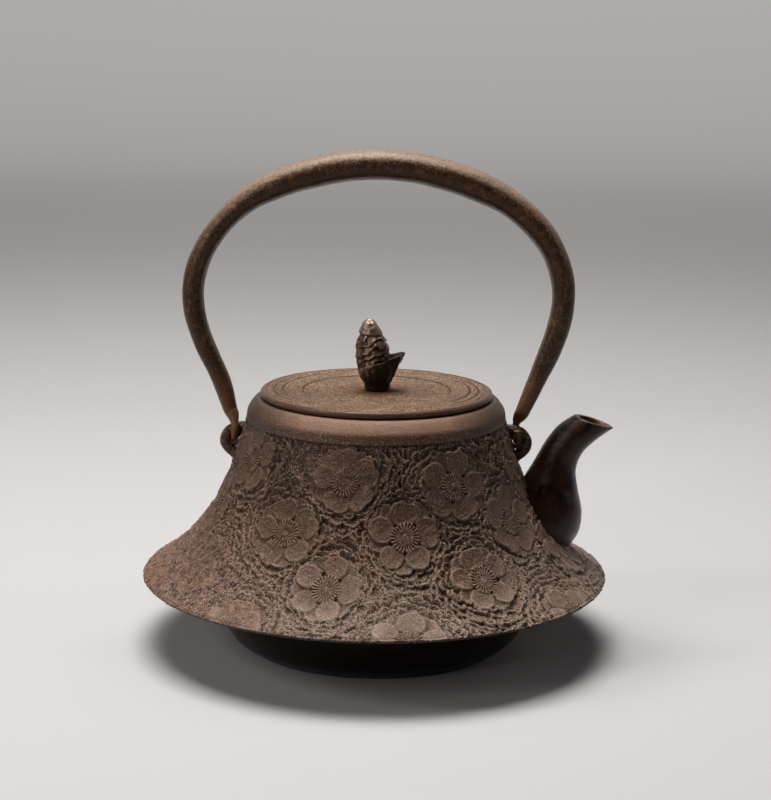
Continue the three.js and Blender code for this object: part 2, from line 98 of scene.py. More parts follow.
# Spout as x and z of its back and its front, and half its width
SPOUT_BACK = [(56, 52), (59, 62), (63.6, 71.5), (67, 77.5), (69.7, 82.6), (73.2, 89), (78, 95), (84.6, 99.6)]
SPOUT_FRONT = [
    (80, 38), (87.4, 47.5), (89, 57.5), (86.9, 68), (86, 76), (88.4, 83.2), (94, 89), (101.2, 94.4),
]
SPOUT_WIDTH = [15.5, 16.2, 14.4, 11, 9.2, 8.5, 8.2, 7.6]
BORE_BACK = [(51, 66), (58.5, 68.5)] + SPOUT_BACK[2:]
BORE_FRONT = [(61, 46), (76, 50)] + SPOUT_FRONT[2:]
BORE_WIDTH = [10, 12.5] + SPOUT_WIDTH[2:]
SPOUT_WALL = 2.4

# Bail as x and z of its outer and inner outline, from its left end to its right end, and half its width at
# shares of its length
BAIL_OUTER = [
    (-65.4, 100), (-71, 114.2), (-77.6, 128), (-82, 142.5), (-81.8, 157.6), (-76.5, 171.8),
    (-67.8, 184.3), (-56.7, 194.7), (-43.6, 202.4), (-29.3, 207.5), (-14.4, 210.6), (0.8, 211.6),
    (15.9, 210.3), (30.8, 207), (45.1, 201.8), (58.3, 194.3), (69.8, 184.3), (78.3, 171.8),
    (82.9, 157.3), (82.7, 142.1), (78.5, 127.5), (72.1, 113.7), (65.4, 100),
]
BAIL_INNER = [
    (-59.2, 100), (-62.1, 113.3), (-67.4, 125.8), (-72, 138.6), (-73.2, 152.1), (-69.7, 165.1),
    (-62.4, 176.5), (-52.2, 185.4), (-39.9, 191.1), (-26.9, 195.1), (-13.6, 197.8), (0, 198.8),
    (13.5, 197.8), (26.8, 194.8), (39.7, 190.5), (52, 184.8), (62.4, 176.2), (70.2, 165.1),
    (73.6, 152), (72, 138.6), (67.9, 125.7), (63.4, 112.8), (58.9, 100),
]
BAIL_WIDTH = [3.1, 5.4, 7.2, 7.8, 7.2, 5.4, 3.1]
BAIL_WIDTH_AT = [0, 2 / 14, 5 / 14, 0.5, 9 / 14, 12 / 14, 1]
BAIL_SPANS = 260
BAIL_SHEET = 1.4
# Half the width of the bail's open seam
BAIL_SEAM = 0.4
# Half of the bail's section from the seam round to its outer side, in parts of its half depth and half width
BAIL_SECTION = [(-0.86, 0.5), (-0.6, 0.84), (-0.2, 0.98), (0.22, 1), (0.56, 0.86), (0.86, 0.53)]

LUG_PATH = [(55, 93.2), (58.2, 93), (61.8, 91.9), (64.2, 89), (64.4, 86.2), (62.6, 83.3), (59.2, 81.2)]
LUG_ROD = 2.15
# Relief that the loops are painted with, low enough that they take the painted shade of the hollows
LUG_RELIEF = 0.16
# Web inside a lug, as distance from the hook's wire and place along Y
LUG_WEB = [(1.78, -0.8), (1.78, 0), (1.78, 0.8), (2.3, 1.2), (3.6, 1.2), (3.6, -1.2), (2.3, -1.2)]
# Where the hooks hang along X, and the radius of their bend
HOOK_X = 60.15
HOOK_BEND = 4.4
# The right hook's way down from inside the bail to its bend, and the radius of its wire against its height
HOOK_LEAD = [(63.6, 0, 103.5), (62.55, 0, 100.8), (61, 1.5, 98), (60.2, 3.58, 95.2)]
HOOK_WIRE = [
    (88, 1.54), (95.2, 1.54), (96, 1.85), (97, 2.2), (98, 2.6), (99, 2.85), (100, 2.95), (101.3, 2.9),
    (102, 1.3),
]

# Knob: points round it, size of the cells that its parts are joined in, and height from fold to fold
KNOB_SIDES = 120
KNOB_VOXEL = 0.22
FOLD_PITCH = 3.1
# Bud of the knob and the cup that it stands in, as height, middle along X, radius, and for the cup how far
# its pointed lip runs out to +X and rises
BUD = [
    (112, -0.3, 4.5), (116, -0.6, 6), (120, -1, 6.9), (124, -1.5, 7.1), (128, -2, 6.9), (131, -2.2, 6.4),
    (134, -2.8, 5.2), (136.5, -3.1, 4.1), (138.6, -3.3, 2.8), (139.8, -3.4, 1.4), (140.2, -3.4, 0.1),
]
CUP = [
    (KNOB_FOOT_Z, 0.3, 5.2, 0, 0), (112.4, 0.2, 5.5, 0.2, 0), (116, -0.2, 6.5, 1.1, 0.1),
    (119.6, -0.4, 7.1, 2.6, 0.6), (122.2, -0.6, 7.3, 4.2, 1.4), (123.6, -0.7, 7.2, 5.3, 2.1),
    (123.4, -0.7, 6.6, 4.9, 2.1), (122.4, -0.7, 5.9, 4, 1.6), (120, -0.6, 4.6, 1.2, 0.4),
    (119, -0.6, 0.1, 0, 0),
]

# Blossoms of the relief as degrees from the front towards the spout, and height. Each row is known where the
# front shows it, and goes on round the back at the same pitch
BLOSSOM_PITCH = 45
BLOSSOM_ROWS = [
    [(-60.2, 86), (-11.7, 83.2), (31.9, 80.3)],
    [(-31.7, 62.1), (10.2, 63), (55.7, 62.9)],
    [(-59.3, 43.3), (-13.7, 44.9), (33.3, 46.1)],
    [(-35, 30), (8, 30), (55, 30)],
]
# Radius of a blossom's disc of stamens, and its ribs
STAMENS = 5.9
RIBS = 24
# Offset kept where no blossom is near
NO_BLOSSOM = 30.0
# How far the pattern's places wander
WARP = 0.5
# Rings of scallops round a blossom: how many, where the first lies in parts of the blossom's radius, and how
# far apart the rings and the scallops of a ring are, in parts of half a lump
RINGS = 8
FIRST_RING = 0.86
RING_STEP = 0.86
SCALLOP_STEP = 1.35
# Unevenness of the cast skin, as cells of the wall's grid per lump, height, and how much more where it rusts
SKIN = [(2, 0.07, 3), (5, 0.08, 3), (12, 0.12, 0)]
# Height of the pattern that lies on the wall's outline, height of its tops, and how far in and out it may go
RELIEF_LEVEL = 1.25
RELIEF_TOP = 1.5
PUSH_RANGE = (-1.6, 0.35)
# Relief that the skirt's rim is painted with, low enough that it takes the painted shade of the hollows
RIM_RELIEF = 0.2

# Lamps as name, place, what they are aimed at, width and depth, all in metres, and power
LAMPS = [
    ("key", (-0.1, 0.12, 1.15), (0, 0, 0.08), 0.65, 0.6, 19),
    ("left", (-0.78, -0.76, 0.5), (0, 0, 0.08), 0.03, 0.7, 2.6),
    ("ridge", (-1.05, -0.32, 0.75), (0.08, 0, 0.08), 0.03, 0.3, 2.4),
    ("right", (0.9, 0.1, 0.5), (0, 0, 0.1), 0.4, 0.5, 0.8),
]


class KettleShape(bpy.types.PropertyGroup):
    """Sizes of the kettle's cast and forged surface"""

    blossom_size: FloatProperty(
        name="Blossom", description="Radius of one plum blossom", default=15.2 * MM, unit="LENGTH"
    )
    relief_depth: FloatProperty(
        name="Relief", description="Depth of the cast relief", default=2.0 * MM, unit="LENGTH"
    )
    lump_width: FloatProperty(
        name="Lump", description="Half the width of a lump of the ground", default=2.7 * MM, unit="LENGTH"
    )
    band_foot: FloatProperty(
        name="Band", description="Height where the plain band ends", default=97.8 * MM, unit="LENGTH"
    )
    columns: IntProperty(name="Columns", description="Faces round the body", default=1200, min=64)


class KettleFinish(bpy.types.PropertyGroup):
    """Colours of the kettle's finishes"""

    brown: FloatVectorProperty(
        name="Cast brown", description="Raised parts", default=(0.165, 0.084, 0.049), subtype="COLOR"
    )
    # Painted shade in the hollows, under the band and between the stamens' ribs, and the colour of dark grain
    # specks
    shade_and_pits: FloatVectorProperty(
        name="Recess", description="Hollows of the relief", default=(0.022, 0.008, 0.004), subtype="COLOR"
    )
    rust: FloatVectorProperty(
        name="Rust", description="Red-brown bloom", default=(0.25, 0.095, 0.05), subtype="COLOR"
    )
    black: FloatVectorProperty(
        name="Smooth black", description="Spout and pan", default=(0.005, 0.0028, 0.0018), subtype="COLOR"
    )
    lid: FloatVectorProperty(
        name="Lid brown", description="Grainy lid", default=(0.2, 0.113, 0.062), subtype="COLOR"
    )
    forged: FloatVectorProperty(
        name="Forged brown", description="Bail and hooks", default=(0.055, 0.022, 0.009), subtype="COLOR"
    )
    bronze: FloatVectorProperty(
        name="Bronze", description="Knob and rivet", default=(0.15, 0.088, 0.058), subtype="COLOR"
    )


class KettleStage(bpy.types.PropertyGroup):
    """Camera, floor and light"""

    distance: FloatProperty(
        name="Distance", description="Camera in front of the foot", default=0.84, unit="LENGTH"
    )
    height: FloatProperty(name="Height", description="Camera above the floor", default=0.2774, unit="LENGTH")
    tilt: FloatProperty(
        name="Tilt", description="Camera turned down", default=0.2022, subtype="ANGLE", unit="ROTATION"
    )
    turn: FloatProperty(
        name="Turn", description="Camera turned right", default=0.0046, subtype="ANGLE", unit="ROTATION"
    )
    roll: FloatProperty(
        name="Roll", description="Camera rolled", default=0.013, subtype="ANGLE", unit="ROTATION"
    )
    lens: FloatProperty(name="Lens", description="Focal length in millimetres", default=90.5)
    floor: FloatVectorProperty(
        name="Floor", description="Colour of floor and backdrop", default=(0.51, 0.49, 0.48), subtype="COLOR"
    )
    ambient: FloatProperty(name="Ambient", description="Strength of the light from all round", default=0.03)


# Outlines and grids


def angles(count):
    """Angles evenly round a circle."""
    return np.arange(count) * math.tau / count


def wrapped(angle):
    """The same angle within half a turn of 0."""
    return (angle + math.pi) % math.tau - math.pi


def run_along(points):
    """How far along a line each of its points lies."""
    return np.concatenate([[0], np.cumsum(np.linalg.norm(np.diff(points, axis=0), axis=1))])


def ring_of(x, y, z):
    """Points of a ring, of which one or two places may be the same for all."""
    return np.stack(np.broadcast_arrays(x, y, z), axis=1)


def along_and_across(u, v, phi):
    """Offsets along a direction and across it."""
    return u * math.cos(phi) + v * math.sin(phi), v * math.cos(phi) - u * math.sin(phi)


def spline(points, count):
    """Points along a uniform Catmull-Rom curve whose ends are doubled, count spans in all."""
    points = np.asarray(points, float)
    last = len(points) - 1
    t = np.linspace(0, last, count + 1)
    k = np.minimum(t.astype(int), last - 1)
    w = (t - k)[:, None]
    p0, p1, p2, p3 = (points[np.clip(k + i, 0, last)] for i in (-1, 0, 1, 2))
    v0, v1 = (p2 - p0) / 2, (p3 - p1) / 2
    return (2 * p1 - 2 * p2 + v0 + v1) * w**3 + (3 * p2 - 3 * p1 - 2 * v0 - v1) * w**2 + v0 * w + p1


def evened(points, step):
    """The same line with points a step apart."""
    points = np.asarray(points, float)
    run = run_along(points)
    at = np.linspace(0, run[-1], max(2, round(run[-1] / step) + 1))
    return np.stack([np.interp(at, run, points[:, i]) for i in range(points.shape[1])], axis=1)


def step_between(low, high, value):
    """Smooth step from 0 at low to 1 at high."""
    t = np.clip((value - low) / (high - low), 0, 1)
    return t * t * (3 - 2 * t)


def smooth_noise(shape, cells, seed):
    """Soft random field from -1 to 1 on a grid, with some cells each way, closed along its second axis."""
    rng = np.random.default_rng(seed)
    lattice = rng.uniform(-1, 1, (cells[0] + 2, cells[1]))
    rows = np.linspace(0, cells[0], shape[0])
    columns = np.arange(shape[1]) * cells[1] / shape[1]
    i, j = rows.astype(int), columns.astype(int)
    a, b = (rows - i)[:, None], (columns - j)[None, :]
    a, b = a * a * (3 - 2 * a), b * b * (3 - 2 * b)
    near, far = lattice[i][:, j], lattice[i][:, (j + 1) % cells[1]]
    near_up, far_up = lattice[i + 1][:, j], lattice[i + 1][:, (j + 1) % cells[1]]
    return (near * (1 - b) + far * b) * (1 - a) + (near_up * (1 - b) + far_up * b) * a


def placed(name, data):
    """New object in the scene that shows a mesh, lamp or camera."""
    made = bpy.data.objects.new(name, data)
    bpy.context.scene.collection.objects.link(made)
    return made


def mesh_object(name, points, faces):
    """Smooth object over points in metres."""
    mesh = bpy.data.meshes.new(name)
    mesh.from_pydata(points, [], faces)
    mesh.update()
    shade_smooth(mesh)
    return placed(name, mesh)


def shade_smooth(mesh):
    mesh.polygons.foreach_set("use_smooth", [True] * len(mesh.polygons))


def grid_object(name, points, endless=False):
    """Closed mesh over rings of points in millimetres. If it isn't endless, the first and last are filled."""
    rows, columns = points.shape[:2]
    index = np.arange(rows * columns).reshape(rows, columns)
    below = np.roll(index, -1, axis=0)
    quads = np.stack([index, np.roll(index, -1, axis=1), np.roll(below, -1, axis=1), below], axis=-1)
    if endless:
        faces = quads.reshape(-1, 4).tolist()
    else:
        faces = quads[:-1].reshape(-1, 4).tolist() + [index[0, ::-1].tolist(), index[-1].tolist()]
    made = mesh_object(name, (points.reshape(-1, 3) * MM).tolist(), faces)
    turn_outward(made.data)
    return made


def turn_outward(mesh):
    """Flips a closed mesh whose faces point inwards."""
    solid = bmesh.new()
    solid.from_mesh(mesh)
    inward = solid.calc_volume(signed=True) < 0
    solid.free()
    if inward:
        mesh.flip_normals()


def turned(name, outline, columns, relief=None):
    """Solid of revolution about Z from a closed outline, pushed out along its normals by the relief."""
    outline = np.asarray(outline, float)
    angle = angles(columns)
    along = np.roll(outline, -1, axis=0) - np.roll(outline, 1, axis=0)
    normal = np.stack([-along[:, 1], along[:, 0]], axis=1)
    normal /= np.linalg.norm(normal, axis=1, keepdims=True)
    push = np.zeros((len(outline), columns)) if relief is None else relief
    radius = outline[:, :1] + normal[:, :1] * push
    height = outline[:, 1:] + normal[:, 1:] * push
    points = np.stack([radius * np.sin(angle), -radius * np.cos(angle), height], axis=-1)
    return grid_object(name, points, endless=True)


def rings_between(outer, inner, width, section, inset=0):
    """Rings of a section fitted between two lines of x and z, less an inset all round."""
    middle, half = (outer + inner) / 2, (outer - inner) / 2
    depth = np.linalg.norm(half, axis=1)
    across = half / depth[:, None]
    rings = []
    for m, a, d, w in zip(middle, across, depth - inset, width - inset):
        shape = section(d, w)
        rings.append(ring_of(m[0] + a[0] * shape[:, 0], shape[:, 1], m[1] + a[1] * shape[:, 0]))
    return np.array(rings)


def oval_rings(back, front, width, count, sides, inset=0):
    """Rings of a tube with an oval section, between two curves of x and z and with half its width given."""
    circle = np.stack([np.cos(angles(sides)), np.sin(angles(sides))], axis=1)
    width = spline([(w, 0) for w in width], count)[:, 0]
    back, front = spline(back, count), spline(front, count)
    return rings_between(back, front, width, lambda depth, wide: circle * (depth, wide), inset)


def rod(name, path, radius, side, sides, rough, seed):
    """Uneven rod of changing radius along a line of points, whose section has an axis square to the side."""
    path = np.asarray(path, float)
    along = np.gradient(path, axis=0)
    along /= np.linalg.norm(along, axis=1, keepdims=True)
    normal = np.cross(along, side)
    normal /= np.linalg.norm(normal, axis=1, keepdims=True)
    across = np.cross(normal, along)
    angle = angles(sides)
    uneven = smooth_noise((len(path), sides), (max(3, len(path) // 4), 6), seed) * rough
    reach = (np.asarray(radius)[:, None] + uneven)[..., None]
    ring = across[:, None] * np.cos(angle)[None, :, None] + normal[:, None] * np.sin(angle)[None, :, None]
    return grid_object(name, path[:, None] + ring * reach)


def roughened(piece, depth, size, seed, keep=None):
    """Moves a piece's points along their normals by soft noise of a depth and size, but not those to keep."""
    places = [v.co.copy() for v in piece.data.vertices]
    normals = [v.normal.copy() for v in piece.data.vertices]
    offset = Vector((seed * 7.1, seed * 3.7, seed * 1.3))
    for vertex, place, normal in zip(piece.data.vertices, places, normals):
        if keep and keep(place):
            continue
        vertex.co = place + normal * noise.noise(place / (size * MM) + offset) * depth * MM
    piece.data.update()


def places_of(piece):
    return np.array([v.co[:] for v in piece.data.vertices])


def standing_out(piece, steps):
    """How far each point stands out of the smoothed piece, in millimetres."""
    before = places_of(piece)
    normal = np.array([v.normal[:] for v in piece.data.vertices])
    soften = piece.modifiers.new("soften", "SMOOTH")
    soften.iterations = steps
    graph = bpy.context.evaluated_depsgraph_get()
    after = places_of(piece.evaluated_get(graph))
    piece.modifiers.remove(soften)
    return ((before - after) * normal).sum(axis=1) / MM


def applied(piece):
    """Replaces a piece's mesh by the one its modifiers give."""
    graph = bpy.context.evaluated_depsgraph_get()
    mesh = bpy.data.meshes.new_from_object(piece.evaluated_get(graph))
    piece.modifiers.clear()
    piece.data = mesh


# The relief


class Wall:
    """Grid over the kettle's wall: columns round it, rows down it, and the heights that the relief adds"""

    def __init__(self, outline, columns):
        shape = (len(outline), columns)
        self.angle = angles(columns)
        self.radius, self.level = outline.T
        self.run = run_along(outline)
        self.height, self.petal = np.zeros(shape), np.zeros(shape)
        self.across, self.upward = np.full(shape, NO_BLOSSOM), np.full(shape, NO_BLOSSOM)
        cells = (len(outline) // 14, columns // 22)
        self.warp = [smooth_noise(shape, cells, 30 + i) for i in (0, 1)]

    def radius_at(self, run):
        return np.interp(run, self.run, self.radius)

    def softened(self, reach):
        """The heights blurred over a reach in millimetres, with the grid's cells taken as square."""
        cells = reach / (self.run[1] - self.run[0])
        down = np.fft.fftfreq(self.height.shape[0])[:, None]
        across = np.fft.fftfreq(self.height.shape[1])[None, :]
        keep = np.exp(-2 * (math.pi * cells) ** 2 * (down**2 + across**2))
        return np.fft.ifft2(np.fft.fft2(self.height) * keep).real

    def run_at(self, level):
        return np.interp(-level, -self.level, self.run)

    def window(self, azimuth, run, reach):
        """Index of the cells within reach of a place, and their offsets along and up the wall from it."""
        rows = np.arange(*np.searchsorted(self.run, [run - reach, run + reach]))
        around = self.radius[rows].min(initial=SKIRT_RADIUS)
        span = int(math.ceil(reach / around / (self.angle[1] - self.angle[0])))
        first = round(azimuth / (self.angle[1] - self.angle[0]))
        columns = (first + np.arange(-span, span + 1)) % len(self.angle)
        turn = wrapped(self.angle[columns] - azimuth)
        index = np.ix_(rows, columns)
        u = turn[None, :] * self.radius[rows][:, None] + WARP * self.warp[0][index]
        v = (run - self.run[rows])[:, None] + WARP * self.warp[1][index]
        return index, u, v


def blossom_places(wall):
    """Azimuth, run and turn of every blossom: the rows that the front shows, gone on round the back."""
    places = []
    for i, row in enumerate(BLOSSOM_ROWS):
        for k in range(360 // BLOSSOM_PITCH):
            azimuth, level = row[min(k, len(row) - 1)]
            azimuth += max(0, k - len(row) + 1) * BLOSSOM_PITCH
            run = wall.run_at(level) if level > SKIRT_Z else wall.run[-1] + SKIRT_Z - level
            places.append((math.radians(azimuth), run, math.pi / 2 + 0.3 * math.sin(2.4 * k + i)))
    return places


def lobe(o, t, radius, level, tuck, rim, cup):
    """Cupped scallop: where it covers, and its height, low on its tucked side and high at its free edge.

    The offsets o and t run from its middle towards the free edge and sideways.
    """
    d = np.hypot(o, t)
    cover = step_between(radius + 0.15, radius - 0.2, d)
    raised = rim * np.exp(-(((d - radius + 0.55) / 0.4) ** 2)) * step_between(-0.6 * radius, 0.3 * radius, o)
    dish = cup * np.clip(1 - (d / radius) ** 2, 0, 1)
    return cover, level - tuck * step_between(0.7 * radius, -radius, o) + raised - dish


def add_scallops(wall, places, shape):
    """Rings of scallops round every blossom, each ring tucked under the one inside it."""
    rng = np.random.default_rng(11)
    size, wide = shape.blossom_size / MM, shape.lump_width / MM
    scallops = []
    for ring in reversed(range(RINGS)):
        distance = size * FIRST_RING + ring * wide * RING_STEP
        for azimuth, run, _ in places:
            count = round(math.tau * distance / (wide * SCALLOP_STEP))
            first = rng.uniform(0, math.tau)
            for k in range(count):
                phi = first + (k + rng.uniform(-0.28, 0.28)) * math.tau / count
                away = distance + rng.uniform(-0.3, 0.3) * wide
                s = run - away * math.sin(phi)
                if not -wide < s < wall.run[-1] + wide:
                    continue
                a = azimuth + away * math.cos(phi) / wall.radius_at(s)
                scallops.append((a, s, phi, away, rng.uniform(0.8, 1.15), rng.uniform(-0.2, 0.2)))
    others = np.array(places)
    for a, s, phi, away, scale, lift in scallops:
        gap = wrapped(others[:, 0] - a)
        distance = np.hypot(gap * wall.radius_at(s), others[:, 1] - s)
        if distance.min() < away - 0.45 * wide:
            continue
        radius = 0.92 * wide * scale
        index, u, v = wall.window(a, s, radius + 1.2)
        o, t = along_and_across(u, v, phi)
        cover, h = lobe(o * 1.1, t, radius, 1.0 + lift, 1.0, 0.28, 0.15)
        wall.height[index] = wall.height[index] * (1 - cover) + h * cover


def add_blossoms(wall, places, shape):
    """Plum blossoms over the scallops: round petals in two layers, and a ribbed disc of stamens."""
    rng = np.random.default_rng(6)
    step = math.tau / 5
    for azimuth, run, turn in places:
        size = shape.blossom_size / MM * rng.uniform(0.95, 1.04)
        index, u, v = wall.window(azimuth, run, size * 1.25)
        height, covered = wall.height[index], 0
        # Petals as place round the blossom, reach, radius, height and how deep they are tucked in
        petals = [(k + 0.5, 0.7, 0.27, 1.0, 0.2) for k in range(5)]
        petals += [(k, 0.63, 0.34, 1.3 + 0.12 * (k % 2), 0.25) for k in range(5)]
        for k, reach, radius, level, tuck in petals:
            phi = turn + k * step + rng.uniform(-0.07, 0.07)
            o, t = along_and_across(u, v, phi)
            split = rng.choice([0, 0, 0.36]) * radius * size
            own = radius * size * rng.uniform(0.93, 1.06) - 0.4 * split
            cover, h = lobe(o - reach * size, np.abs(t) - split if split else t, own, level, tuck, 0.15, 0.2)
            height = height * (1 - cover) + h * cover
            covered = np.maximum(covered, cover)
        wall.height[index] = stamens(height, u, v)
        wall.petal[index] = np.maximum(wall.petal[index], covered)
        middle = np.hypot(u, v) < 8
        wall.across[index] = np.where(middle, u, wall.across[index])
        wall.upward[index] = np.where(middle, v, wall.upward[index])


def stamens(height, u, v):
    """Ribs that fan out from a boss, over the heights there."""
    rho, angle = np.hypot(u, v), np.arctan2(v, u)
    ribs = 0.5 + 0.5 * np.cos(RIBS * angle)
    disc = step_between(STAMENS + 0.3, STAMENS - 0.3, rho)
    span = step_between(3.2, 4.4, rho) * step_between(STAMENS + 0.1, STAMENS - 0.4, rho)
    boss = 0.15 * np.sqrt(np.clip(1 - (rho / 1.3) ** 2, 0, 1))
    flat = 1.15 + boss + 0.5 * np.clip(rho / STAMENS, 0, 1) ** 2 - 0.6 * span * (1 - ribs)
    return height * (1 - disc) + flat * disc


def wear(wall):
    """How far the pattern is rubbed down, and how coarse rust has made the skin, over the wall.

    A spot near the front under the band is rubbed smooth, and rust sits low on the left.
    """
    patch = smooth_noise(wall.height.shape, (4, 14), 51)
    angle, level = wrapped(wall.angle), wall.level[:, None]
    smooth = np.exp(-(((angle + 0.38) / 0.3) ** 2 + ((level - 90) / 9) ** 2))
    rubbed = np.clip(0.8 * smooth + 0.35 * step_between(0.1, 0.8, patch), 0, 1)
    left = step_between(-0.35, -0.95, np.sin(angle))
    coarse = np.clip(left * step_between(76, 44, level) + 0.3 * step_between(0, -0.8, patch), 0, 1)
    return np.clip(rubbed + 0.8 * left * step_between(70, 40, level), 0, 1), coarse


def relief_of(outline, columns, shape):
    """Push along the normal in millimetres for the wall's points, and what to paint there and on the rest."""
    wall = Wall(outline, columns)
    places = blossom_places(wall)
    add_scallops(wall, places, shape)
    add_blossoms(wall, places, shape)
    rubbed, coarse = wear(wall)
    wall.height += (wall.softened(1.6) - wall.height) * rubbed
    for cells, depth, rusted in SKIN:
        field = smooth_noise(wall.height.shape, (len(outline) // cells, columns // cells), cells)
        wall.height += depth * field * (1 + rusted * coarse - 0.6 * rubbed)
    # How far each point stands out of its surroundings; the body's finish paints shade into the hollows and a
    # highlight onto the crests from it
    hollow = 0.55 * (wall.height - wall.softened(1.2)) + 0.35 * (wall.height - wall.softened(3.2))
    foot = shape.band_foot / MM
    below = step_between(foot + 0.1, foot - 0.35, wall.level)[:, None]
    deep = shape.relief_depth / MM / RELIEF_TOP
    plain = 0.04 * smooth_noise(wall.height.shape, (30, 90), 8)
    push = below * (wall.height - RELIEF_LEVEL) * deep + (1 - below) * plain
    push[wall.run > wall.run[-1] - 1.5] -= 0.3
    layers = {"relief": (0.5 + below * hollow, 0.5), "petal": (wall.petal, 0), "rubbed": (rubbed, 0)}
    layers |= {"across": (wall.across, NO_BLOSSOM), "upward": (wall.upward, NO_BLOSSOM)}
    return np.clip(push, *PUSH_RANGE), layers


def paint(piece, name, values):
    """Keeps one number for each point of a piece, for its finish to read."""
    attribute = piece.data.attributes.new(name, "FLOAT", "POINT")
    attribute.data.foreach_set("value", np.asarray(values, np.float32).ravel())


# Finishes


class Value:
    """A socket of a finish, on which Python's operators add Math nodes"""

    def __init__(self, finish, socket):
        self.finish = finish
        self.socket = socket

    def maths(self, operation, *values, clamp=False):
        settings = {"operation": operation, "use_clamp": clamp}
        return self.finish.node("ShaderNodeMath", settings, dict(enumerate(values)))

    def __add__(self, other):
        return self.maths("ADD", self, other)

    def __radd__(self, other):
        return self.maths("ADD", other, self)

    def __sub__(self, other):
        return self.maths("SUBTRACT", self, other)

    def __rsub__(self, other):
        return self.maths("SUBTRACT", other, self)

    def __mul__(self, other):
        return self.maths("MULTIPLY", self, other)

    def __rmul__(self, other):
        return self.maths("MULTIPLY", other, self)

    def __truediv__(self, other):
        return self.maths("DIVIDE", self, other)

    def __abs__(self):
        return self.maths("ABSOLUTE", self)

    def larger(self, other):
        return self.maths("MAXIMUM", self, other)

    def between(self, low, high):
        """0 at low and 1 at high, held outside them."""
        return self.maths("ADD", (self - low) / (high - low), 0, clamp=True)


class Finish:
    """A material built on one Principled shader"""

    def __init__(self, name, **constants):
        self.material = bpy.data.materials.new(name)
        self.material.use_nodes = True
        self.tree = self.material.node_tree
        self.shader = self.tree.nodes["Principled BSDF"]
        for socket, value in constants.items():
            self.shader.inputs[self.label(socket)].default_value = value
        self.place = self.node("ShaderNodeTexCoord", out="Object")
        self.tone = None

    def node(self, kind, settings=None, sockets=None, out=0):
        """Adds a node, sets it up, fills its sockets with numbers, colours or links, and gives one output."""
        made = self.tree.nodes.new(kind)
        for key, value in (settings or {}).items():
            setattr(made, key, value)
        for key, value in (sockets or {}).items():
            if isinstance(value, Value):
                self.tree.links.new(value.socket, made.inputs[key])
            else:
                socket = made.inputs[key]
                colour = socket.type == "RGBA" and len(value) == 3
                socket.default_value = (*value, 1) if colour else value
        return Value(self, made.outputs[out])

    @staticmethod
    def label(socket):
        return socket.replace("_", " ").title().replace("Ior", "IOR")

    def noise(self, size, detail=3, roughness=0.6, distortion=0):
        """Noise whose features are about the given size in millimetres."""
        sockets = {"Vector": self.place, "Scale": 1 / (size * MM), "Detail": detail}
        sockets |= {"Roughness": roughness, "Distortion": distortion}
        return self.node("ShaderNodeTexNoise", None, sockets)

    def kept(self, name):
        """Number kept on the piece's points."""
        return self.node("ShaderNodeAttribute", {"attribute_name": name}, out="Fac")

    def mix(self, factor, a, b):
        return self.node("ShaderNodeMix", {"data_type": "RGBA"}, {0: factor, 6: a, 7: b}, out=2)

    def coat(self, factor, colour):
        """Lays a colour over the tone as far as the factor says."""
        self.tone = self.mix(factor, self.tone, colour)

    def parts(self, vector):
        """The three numbers of a vector."""
        split = self.node("ShaderNodeSeparateXYZ", None, {0: vector}).socket.node
        return [Value(self, socket) for socket in split.outputs]

    def bump(self, height, depth, strength=1.0):
        """Normal of a height from 0 to 1 that stands for a depth in millimetres."""
        sockets = {"Height": height, "Distance": depth * MM, "Strength": strength}
        return self.node("ShaderNodeBump", None, sockets)

    def feed(self, **sockets):
        """Links the tone and other values to the shader, and gives the material."""
        for name, value in {"base_color": self.tone, **sockets}.items():
            self.tree.links.new(value.socket, self.shader.inputs[self.label(name)])
        return self.material


ASH_AND_SKIRT_LIGHT = (0.31, 0.24, 0.185)
SAND_AND_GLINTS = (0.44, 0.36, 0.29)
PETAL_BROWN = (0.085, 0.048, 0.03)
LACQUER = (0.026, 0.01, 0.004)
WORN_BLACK = (0.12, 0.055, 0.03)
CHANNEL_BROWN = (0.11, 0.056, 0.032)
RUST_STAIN = (0.13, 0.045, 0.014)
GROOVE_SHADE = (0.02, 0.009, 0.004)
BEAD_BROWN = (0.085, 0.04, 0.024)
RUBBED = (0.27, 0.16, 0.085)
SHADED = (0.018, 0.005, 0.002)
LOW_RUST = (0.24, 0.1, 0.036)
TOP_HIGHLIGHT = (0.27, 0.185, 0.13)
SEAM_HIGHLIGHT = (0.2, 0.13, 0.1)
PIT = (0.008, 0.005, 0.003)
BRIGHT_TIP = (0.38, 0.27, 0.2)


def shade(colour, times, plus=0):
    """A darker or paler colour."""
    return tuple(times * c + plus for c in colour)


